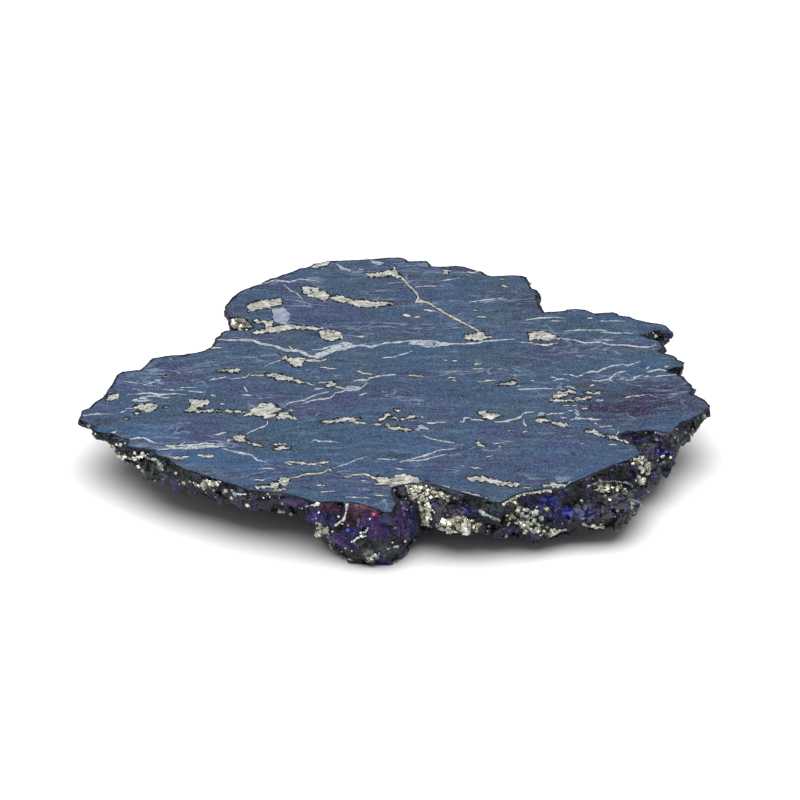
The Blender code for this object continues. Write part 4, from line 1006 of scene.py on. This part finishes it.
veinlet_material, tree, shader = new_material("pale_veinlet")
mottle = stretched_cloud(tree, in_mm(tree), 1.6, 2.6, 4.0, 0.75)
colour = blended(tree, ramp(tree, mottle, 0.40, 0.58), tone(108, 130, 158), tone(212, 220, 225))
join(tree, colour, shader.inputs["Base Color"])
shader.inputs["Roughness"].default_value = 0.35
shader.inputs["Specular IOR Level"].default_value = 0.2

pyrite_material, tree, shader = new_material("polished_pyrite")
mottle = stretched_cloud(tree, in_mm(tree), 0.9, 1.6, 4.0, 0.7)
pits = stretched_cloud(tree, in_mm(tree), 1.3, 2.6, 4.0, 0.7)
colour = blended(tree, ramp(tree, mottle, 0.38, 0.62), tone(164, 165, 157), tone(232, 232, 222))
colour = blended(tree, ramp(tree, pits, 0.47, 0.40, 0.0, 0.9), colour, tone(70, 72, 74))
join(tree, colour, shader.inputs["Base Color"])
join(tree, ramp(tree, mottle, 0.3, 0.7, 0.3, 0.45), shader.inputs["Roughness"])
shader.inputs["Metallic"].default_value = 0.0
shader.inputs["Specular IOR Level"].default_value = 0.25

dark_material, tree, shader = new_material("dark_pit")
colour = blended(tree, cloud(tree, in_mm(tree), 3.0), tone(14, 16, 20), tone(40, 44, 52))
join(tree, colour, shader.inputs["Base Color"])
shader.inputs["Roughness"].default_value = 0.6

white_material, tree, shader = new_material("bright_glint")
colour = blended(tree, cloud(tree, in_mm(tree), 2.0), tone(226, 226, 214), tone(252, 252, 248))
join(tree, colour, shader.inputs["Base Color"])
shader.inputs["Roughness"].default_value = 0.25

# The rock's own material comes first, and the others in the order of KINDS.
for finish in (
    rock_material, face_material, seam_material, lavender_material, veinlet_material,
    pyrite_material, dark_material, white_material,
):
    slab.data.materials.append(finish)
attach(slab, "root")
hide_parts("covellite_slab")


# Crystals that stand out of the broken rock: grains of pyrite, grains of pale quartz with white grains that
# are partly painted highlights, and thin flakes of covellite, three pieces of small closed crystals sunk into
# the rock. A few shapes are modelled once and copied to their places, some traced in the picture and the
# rest strewn where the rock is crusted.
CRYSTAL_TOP = FACE_LEVEL / MM - 0.05    # no crystal stands higher than this, in mm
CRYSTAL_INSIDE = 0.02                   # how far crystals stay inside the box of the solid, in mm
SUNK = 0.3                              # how much of its size a grain sits below the surface
FLAKE_LEAN = 0.45                       # how far a flake may lean away from the surface
ROW_SPACING = 1.7                       # widest spacing of crystals along a traced row, in pixels

# Single crystals seen in the picture: kind, position, size in mm. The white ones are partly pale mineral and
# partly painted highlights, glints on the rock and on the lump's glossy ridges.
PICKED = [
    ("pyrite", 117, 445, 0.7), ("pyrite", 121, 445.5, 0.7), ("white", 135, 453, 0.6),
    ("white", 143, 453, 0.6), ("white", 141, 454, 0.5), ("pyrite", 120, 456, 0.9),
    ("pyrite", 125, 457.5, 0.9), ("pyrite", 130, 458, 0.8), ("pyrite", 136, 458, 0.9),
    ("pyrite", 142, 457, 0.8), ("quartz", 158, 463, 0.6), ("quartz", 159.5, 466, 0.7),
    ("quartz", 162, 469, 0.6), ("pyrite", 190, 481, 0.6), ("pyrite", 196, 484, 0.7),
    ("white", 207, 482, 0.7), ("pyrite", 211, 483.5, 0.9), ("pyrite", 217, 484, 0.9),
    ("white", 222, 480.5, 0.6), ("pyrite", 226, 490, 0.9), ("quartz", 235, 494, 0.8),
    ("pyrite", 232, 498, 0.7), ("quartz", 251, 494, 0.6), ("pyrite", 268, 494, 0.6),
    ("pyrite", 282, 503, 0.6), ("white", 314, 505, 0.7), ("white", 318, 503.5, 0.7),
    ("white", 321, 502.5, 0.6), ("white", 347, 506, 0.5), ("white", 346.5, 510, 0.5),
    ("white", 345, 515, 0.5), ("white", 343, 520, 0.5), ("quartz", 338, 524, 0.5),
    ("blue", 313, 519, 0.7), ("blue", 316, 523, 0.6), ("blue", 318, 513, 0.6), ("pyrite", 318, 528, 0.7),
    ("pyrite", 322, 530, 0.9), ("pyrite", 326, 532, 0.7), ("pyrite", 321, 534, 0.8),
    ("pyrite", 328, 528, 0.6), ("magenta", 374, 514, 0.8), ("magenta", 377, 514, 0.6),
    ("magenta", 360, 508, 0.5), ("white", 354, 541, 0.5), ("white", 358, 538.5, 0.6),
    ("white", 364, 537, 0.5), ("white", 367, 530, 0.5), ("white", 357, 545, 0.5),
    ("white", 380, 540, 0.5), ("white", 342, 551, 0.5), ("blue", 348, 530, 0.8), ("blue", 354, 534, 0.8),
    ("quartz", 366, 551, 1.2), ("quartz", 371, 553, 1.4), ("quartz", 376, 556, 1.0),
    ("quartz", 368, 558, 1.0), ("quartz", 383, 550, 0.7), ("quartz", 392, 547, 0.8),
    ("white", 372, 551, 0.6), ("white", 653, 333, 0.6), ("white", 655, 336, 0.7),
    ("white", 652, 339, 0.5), ("magenta", 683, 408, 0.6), ("blue", 658, 451, 0.7),
    ("blue", 663, 454, 0.8), ("blue", 666, 452, 0.5), ("pyrite", 632, 456, 0.9),
    ("pyrite", 635, 459, 0.8), ("pyrite", 639, 460, 1.0), ("white", 642, 463, 0.9),
    ("pyrite", 643, 469, 0.9), ("pyrite", 648, 470, 1.0), ("pyrite", 638, 477, 0.9),
    ("pyrite", 641, 481, 1.0), ("pyrite", 643, 484, 0.7), ("pyrite", 598, 487, 1.0),
    ("pyrite", 601, 490, 0.8), ("pyrite", 606, 488, 0.5), ("pyrite", 620, 487, 0.8),
    ("pyrite", 625, 490, 0.7), ("blue", 567, 508, 1.2), ("blue", 568, 512, 1.3), ("blue", 564, 514, 0.9),
    ("blue", 571, 515, 0.8), ("blue", 545, 500, 0.9), ("blue", 552, 504, 0.8), ("quartz", 522, 514, 1.1),
    ("quartz", 528, 518, 1.2), ("quartz", 535, 514, 1.2), ("quartz", 541, 519, 1.0),
    ("quartz", 531, 525, 1.1), ("quartz", 525, 532, 0.9), ("quartz", 633, 503, 1.1),
    ("quartz", 638, 507, 1.0), ("pyrite", 551, 530, 0.7), ("pyrite", 555, 529, 0.7),
    ("pyrite", 548, 536, 0.7), ("pyrite", 560, 534, 0.6), ("pyrite", 584, 523, 0.7),
    ("pyrite", 595, 528, 0.7), ("blue", 612, 508, 0.7), ("blue", 300, 508, 0.6),
    ("white", 359, 546, 0.45), ("white", 346, 548, 0.4), ("white", 361, 536, 0.5),
    ("white", 339, 517, 0.45), ("white", 333, 531.5, 0.5), ("white", 328.5, 537, 0.45),
    ("white", 348.5, 525.7, 0.4), ("magenta", 378.5, 512, 0.7), ("white", 316, 518, 0.4),
    ("white", 317, 523, 0.4), ("white", 319, 512.5, 0.4), ("white", 343, 523.5, 0.45),
    ("white", 370, 519, 0.4), ("white", 405, 541, 0.5), ("white", 352, 551, 0.4),
    ("pyrite", 444, 523, 1.3), ("pyrite", 454, 522, 1.4), ("pyrite", 461, 519, 1.2),
    ("pyrite", 467, 523, 1.4), ("pyrite", 467, 530, 1.5), ("pyrite", 476, 528.6, 1.3),
    ("pyrite", 458, 527, 1.2), ("pyrite", 449, 525, 1.0), ("pyrite", 425, 524, 1.1),
    ("pyrite", 431, 525, 1.1), ("white", 410, 489, 0.8), ("white", 419, 492, 0.7),
    ("white", 428, 495, 0.9), ("white", 447, 522, 0.8), ("white", 466, 529, 0.8),
]
# Thin crusts of small grains seen in the picture: kind, size in mm, then the line. The white rows on the lump
# are painted highlights along its glossy ridges.
PICKED_ROWS = [
    ("white", 0.4, 347, 505, 346, 512, 344, 519, 340, 522, 336, 525),
    ("white", 0.45, 313, 505, 322, 502.5), ("white", 0.4, 352, 542, 358, 538, 366, 536),
    ("white", 0.4, 360, 533, 366, 532, 368, 528), ("quartz", 0.6, 157, 462, 160, 467, 163, 470),
    ("pyrite", 0.7, 117, 455, 126, 457, 136, 458, 145, 456),
    ("pyrite", 0.8, 404, 486, 412, 485.5, 420, 488, 430, 491, 440, 494, 449, 497),
    ("pyrite", 0.8, 420, 500, 421, 507, 423, 514, 425, 522),
    ("pyrite", 0.9, 427, 500, 428, 508, 430, 516), ("pyrite", 0.6, 431, 498, 440, 496, 448, 500),
    ("pyrite", 0.6, 548, 533, 556, 531, 566, 529), ("pyrite", 0.5, 583, 523, 590, 526, 600, 527),
    ("pyrite", 0.6, 506, 500, 514, 503, 522, 508, 531, 513),
    ("pyrite", 0.6, 520, 520, 526, 527, 534, 532), ("pyrite", 0.5, 596, 490, 604, 487, 612, 488),
    ("quartz", 0.5, 588, 486, 600, 482, 615, 481, 630, 484),
    ("quartz", 0.6, 480, 512, 490, 516, 500, 520),
    ("quartz", 0.5, 632, 500, 640, 503, 641, 510, 634, 513, 631, 506, 632, 500),
    ("frost", 0.9, 363, 556, 365, 552, 370, 549, 375, 552, 375, 557, 369, 560),
    ("frost", 0.9, 366, 555, 373, 555), ("frost", 1.0, 367, 552, 374, 553),
    ("quartz", 0.6, 378, 553, 385, 549, 398, 546), ("white", 0.35, 306, 506, 313, 505),
    ("white", 0.35, 381, 541, 386, 540, 392, 542),
    ("quartz", 0.4, 330, 545, 335, 552, 343, 557, 352, 560),
    ("pyrite", 0.5, 320, 524, 324, 528, 329, 534), ("pyrite", 0.9, 233, 320, 246, 319.5, 257, 321),
    ("pyrite", 0.9, 234, 325, 246, 326, 259, 325),
    ("pyrite", 0.6, 503, 504, 512, 498.5, 522, 494, 535, 492.5, 545, 490.5),
    ("pyrite", 0.6, 547, 490, 557, 489, 568, 486.5), ("pyrite", 0.5, 204, 481, 214, 483, 222, 481),
    ("white", 0.35, 234, 493, 240, 494.5, 246, 494), ("quartz", 0.5, 143, 456, 150, 459, 158, 461),
    ("white", 0.3, 665, 410, 674, 413, 682, 408, 688, 407),
]
# The dullest and the brightest own colour of each kind. Kinds that PIECE_OF leaves out are flakes.
CRYSTAL_TONES = {
    "pyrite": (tone(150, 146, 120), Vector((0.88, 0.87, 0.76))),
    # The near-white tone of the white grains is partly a painted highlight.
    "white": (tone(240, 242, 234), Vector((0.95, 0.95, 0.93))),
    "quartz": (tone(130, 142, 136), tone(226, 236, 228)),
    "frost": (Vector((0.60, 0.68, 0.63)), Vector((0.93, 0.96, 0.93))),
    "blue": (tone(70, 72, 220), Vector((0.22, 0.20, 0.85))),
    "magenta": (tone(196, 60, 120), Vector((0.75, 0.12, 0.30))),
    "violet": (tone(80, 60, 140), tone(130, 100, 190)),
    "dusky": (tone(70, 84, 110), tone(120, 130, 160)),
}
PIECE_OF = {
    "pyrite": "pyrite_grains", "white": "quartz_and_highlight_grains", "quartz": "quartz_and_highlight_grains", "frost": "quartz_and_highlight_grains",
}


def crystal_shape(kind, number):
    """Corners and triangles of one closed crystal shape about a millimetre across."""
    shape = bmesh.new()
    draw = np.random.default_rng(100 + number)
    if kind == "flake":
        for level in (-0.09, 0.09):
            for turn in range(6):
                angle = math.radians(60.0 * turn + draw.uniform(-9.0, 9.0))
                reach = draw.uniform(0.42, 0.55) * (1.0 if level < 0.0 else 0.9)
                shape.verts.new((reach * math.cos(angle), reach * math.sin(angle), level))
    elif number % 2:
        for x, y, z in draw.normal(size=(13, 3)):
            shape.verts.new(Vector((x, y, z)).normalized() * draw.uniform(0.4, 0.55))
    else:
        for corner in range(8):
            sides = [(0.38 if corner >> axis & 1 else -0.38) + draw.uniform(-0.07, 0.07) for axis in range(3)]
            shape.verts.new(sides)
    hull = bmesh.ops.convex_hull(shape, input=shape.verts)
    buried = [part for part in hull["geom_interior"] if isinstance(part, bmesh.types.BMVert)]
    bmesh.ops.delete(shape, geom=buried, context="VERTS")
    bmesh.ops.recalc_face_normals(shape, faces=shape.faces)
    shape.verts.index_update()
    corners = np.array([corner.co for corner in shape.verts])
    sides = [[corner.index for corner in face.verts] for face in shape.faces]
    shape.free()
    return corners, sides


GRAIN_SHAPES = [crystal_shape("grain", number) for number in range(8)]
FLAKE_SHAPES = [crystal_shape("flake", number) for number in range(4)]
strewn = {name: ([], [], []) for name in ("pyrite_grains", "quartz_and_highlight_grains", "covellite_flakes")}
chance = np.random.default_rng(31)


def set_crystal(kind, spot, normal, size):
    """Put one crystal of a kind at a spot of the rock, in mm, sunk along the normal there."""
    piece = PIECE_OF.get(kind, "covellite_flakes")
    flake = piece == "covellite_flakes"
    shapes = FLAKE_SHAPES if flake else GRAIN_SHAPES
    corners, sides = shapes[chance.integers(len(shapes))]
    if flake:
        lean = Vector(chance.normal(size=3)).normalized()
        spin = Quaternion((0.0, 0.0, 1.0), chance.uniform(0.0, 6.3))
        turn = (normal + FLAKE_LEAN * lean).to_track_quat("Z", "Y") @ spin
    else:
        turn = Quaternion(chance.normal(size=4)).normalized()
    stretch = size * np.array((1.0, chance.uniform(0.65, 1.0), chance.uniform(0.65, 1.0)))
    lift = normal * size * (0.5 - SUNK) * (0.1 if flake else 1.0)
    placed = (corners * stretch) @ np.array(turn.to_matrix()).T + np.array(spot + lift)
    placed[:, 2] -= max(0.0, placed[:, 2].max() - CRYSTAL_TOP)
    least, most = np.array(cad_box[0]) / MM + CRYSTAL_INSIDE, np.array(cad_box[1]) / MM - CRYSTAL_INSIDE
    if (placed < least).any() or (placed > most).any():
        return
    places, faces, colours = strewn[piece]
    faces += [[len(places) + index for index in side] for side in sides]
    dull, bright = CRYSTAL_TONES[kind]
    places += list(placed)
    colours += [(*dull.lerp(bright, chance.uniform()), 1.0)] * len(placed)


# Traced crystals: each is set where the line of sight through its place in the picture meets the rock.
surface = BVHTree.FromBMesh(rock)
across = Vector((1.0, 0.0, 0.0))
up = TOWARDS_VIEW.cross(across)
rock.faces.ensure_lookup_table()
for kind, size, *row in PICKED_ROWS:
    for spot in along(row, min(ROW_SPACING, 3.0 * size)):
        PICKED.append((kind, *spot, size * chance.uniform(0.7, 1.3)))
for kind, u, v, size in PICKED:
    ray = across * (u - VIEW_CENTRE) - up * (v - VIEW_CENTRE) - TOWARDS_VIEW * VIEW_FOCAL
    place, normal, index, _ = surface.ray_cast(VIEW_FROM, ray.normalized())
    if place is not None and rock.faces[index].material_index == 0:
        set_crystal(kind, place / MM, normal, size)

# Strewn crystals: kind, how many there are to a square millimetre, and the smallest and largest size.
for face in rock.faces:
    if face.material_index or face.normal.z < -0.75:
        continue
    shares = sum((corner[shared] for corner in face.verts), Vector()) / len(face.verts)
    area = face.calc_area() / MM ** 2
    stray = max(0.0, 1.0 - shares.z)
    for kind, density, small, large in (
        ("pyrite", 5.0 * shares.x ** 2 + 0.04 * stray, 0.35, 1.1),
        ("quartz", 3.0 * shares.y ** 2 + 0.04 * stray, 0.35, 0.9),
        ("blue", 0.012 * stray, 0.3, 0.7),
        ("violet", 0.06 * stray, 0.3, 0.9),
        ("dusky", 0.2 * stray, 0.3, 0.9),
        ("magenta", 0.002, 0.25, 0.5),
        # White grains, more on the crusts: partly pale mineral, partly painted glints.
        ("white", 0.04 * stray + 0.3 * shares.x, 0.2, 0.4),
    ):
        for _ in range(chance.poisson(density * area)):
            weights = chance.dirichlet((1.0, 1.0, 1.0))
            spot = sum((corner.co * weight for corner, weight in zip(face.verts, weights)), Vector())
            set_crystal(kind, spot / MM, face.normal, small + (large - small) * chance.uniform() ** 2)

# The three pieces: name, how metallic, the gloss and the dullness of their faces, and the dirt between them.
for name, metallic, low_rough, high_rough, dirt in (
    ("pyrite_grains", 0.5, 0.2, 0.4, tone(30, 30, 26)), ("quartz_and_highlight_grains", 0.0, 0.2, 0.45, tone(84, 90, 84)),
    ("covellite_flakes", 0.6, 0.2, 0.4, tone(30, 32, 52)),
):
    places, faces, colours = strewn[name]
    mesh = bpy.data.meshes.new(name)
    mesh.from_pydata([tuple(place * MM) for place in places], [], faces)
    painted_on = mesh.color_attributes.new("tint", "FLOAT_COLOR", "POINT")
    painted_on.data.foreach_set("color", [value for colour in colours for value in colour])
    crystals_piece = bpy.data.objects.new(name, mesh)
    bpy.context.scene.collection.objects.link(crystals_piece)
    material, tree, shader = new_material(name)
    own = node(tree, "Attribute", attribute_name="tint").outputs["Color"]
    soiled = cloud(tree, in_mm(tree), 1.6, 3.0, 0.65)
    colour = blended(tree, ramp(tree, soiled, 0.52, 0.66, 0.0, 0.7), own, dirt)
    join(tree, colour, shader.inputs["Base Color"])
    join(tree, ramp(tree, soiled, 0.3, 0.7, low_rough, high_rough), shader.inputs["Roughness"])
    shader.inputs["Metallic"].default_value = metallic
    relief = node(tree, "Bump", Strength=0.3, Distance=0.00005, Height=cloud(tree, in_mm(tree), 4.0))
    join(tree, relief.outputs["Normal"], shader.inputs["Normal"])
    mesh.materials.append(material)
    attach(crystals_piece, "root")
    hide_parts("covellite_slab")


# Floor of the studio: a wide pale sheet below the specimen.
bpy.ops.mesh.primitive_plane_add(size=6.0, location=(0.0, 0.0, 0.0))
floor = bpy.context.active_object
floor.name = "studio_floor"
floor_material, tree, shader = new_material("pale_paper")
colour = blended(tree, cloud(tree, in_mm(tree), 0.02), (0.86, 0.86, 0.86), (0.88, 0.88, 0.88))
join(tree, colour, shader.inputs["Base Color"])
shader.inputs["Roughness"].default_value = 0.9
shader.inputs["Specular IOR Level"].default_value = 0.0
floor.data.materials.append(floor_material)


# Light and camera: one large soft light straight above, pale surroundings, and a long lens from the front.
SURROUNDINGS = 0.3
SOFTBOX_WIDTH = 1.3
SOFTBOX_POWER = 11.8
SOFTBOX_PLACE = (-0.05, 0.05, 0.75)
SENSOR = 36.0
world = bpy.data.worlds.new("studio")
bpy.context.scene.world = world
world.use_nodes = True
world.node_tree.nodes["Background"].inputs["Color"].default_value = (1.0, 1.0, 1.0, 1.0)
world.node_tree.nodes["Background"].inputs["Strength"].default_value = SURROUNDINGS

softbox = bpy.data.lights.new("softbox", "AREA")
softbox.shape = "DISK"
softbox.size = SOFTBOX_WIDTH
softbox.energy = SOFTBOX_POWER
softbox_at = bpy.data.objects.new("softbox", softbox)
softbox_at.location = SOFTBOX_PLACE
bpy.context.scene.collection.objects.link(softbox_at)

lens = bpy.data.cameras.new("camera")
lens.sensor_width = SENSOR
lens.lens = SENSOR * VIEW_FOCAL / (2.0 * VIEW_CENTRE)
lens.clip_start = 0.01
lens.clip_end = 20.0
camera = bpy.data.objects.new("camera", lens)
camera.location = VIEW_FROM
camera.rotation_euler = (math.radians(90.0) - VIEW_UP, 0.0, 0.0)
bpy.context.scene.collection.objects.link(camera)
bpy.context.scene.camera = camera
bpy.context.scene.view_settings.view_transform = "Standard"
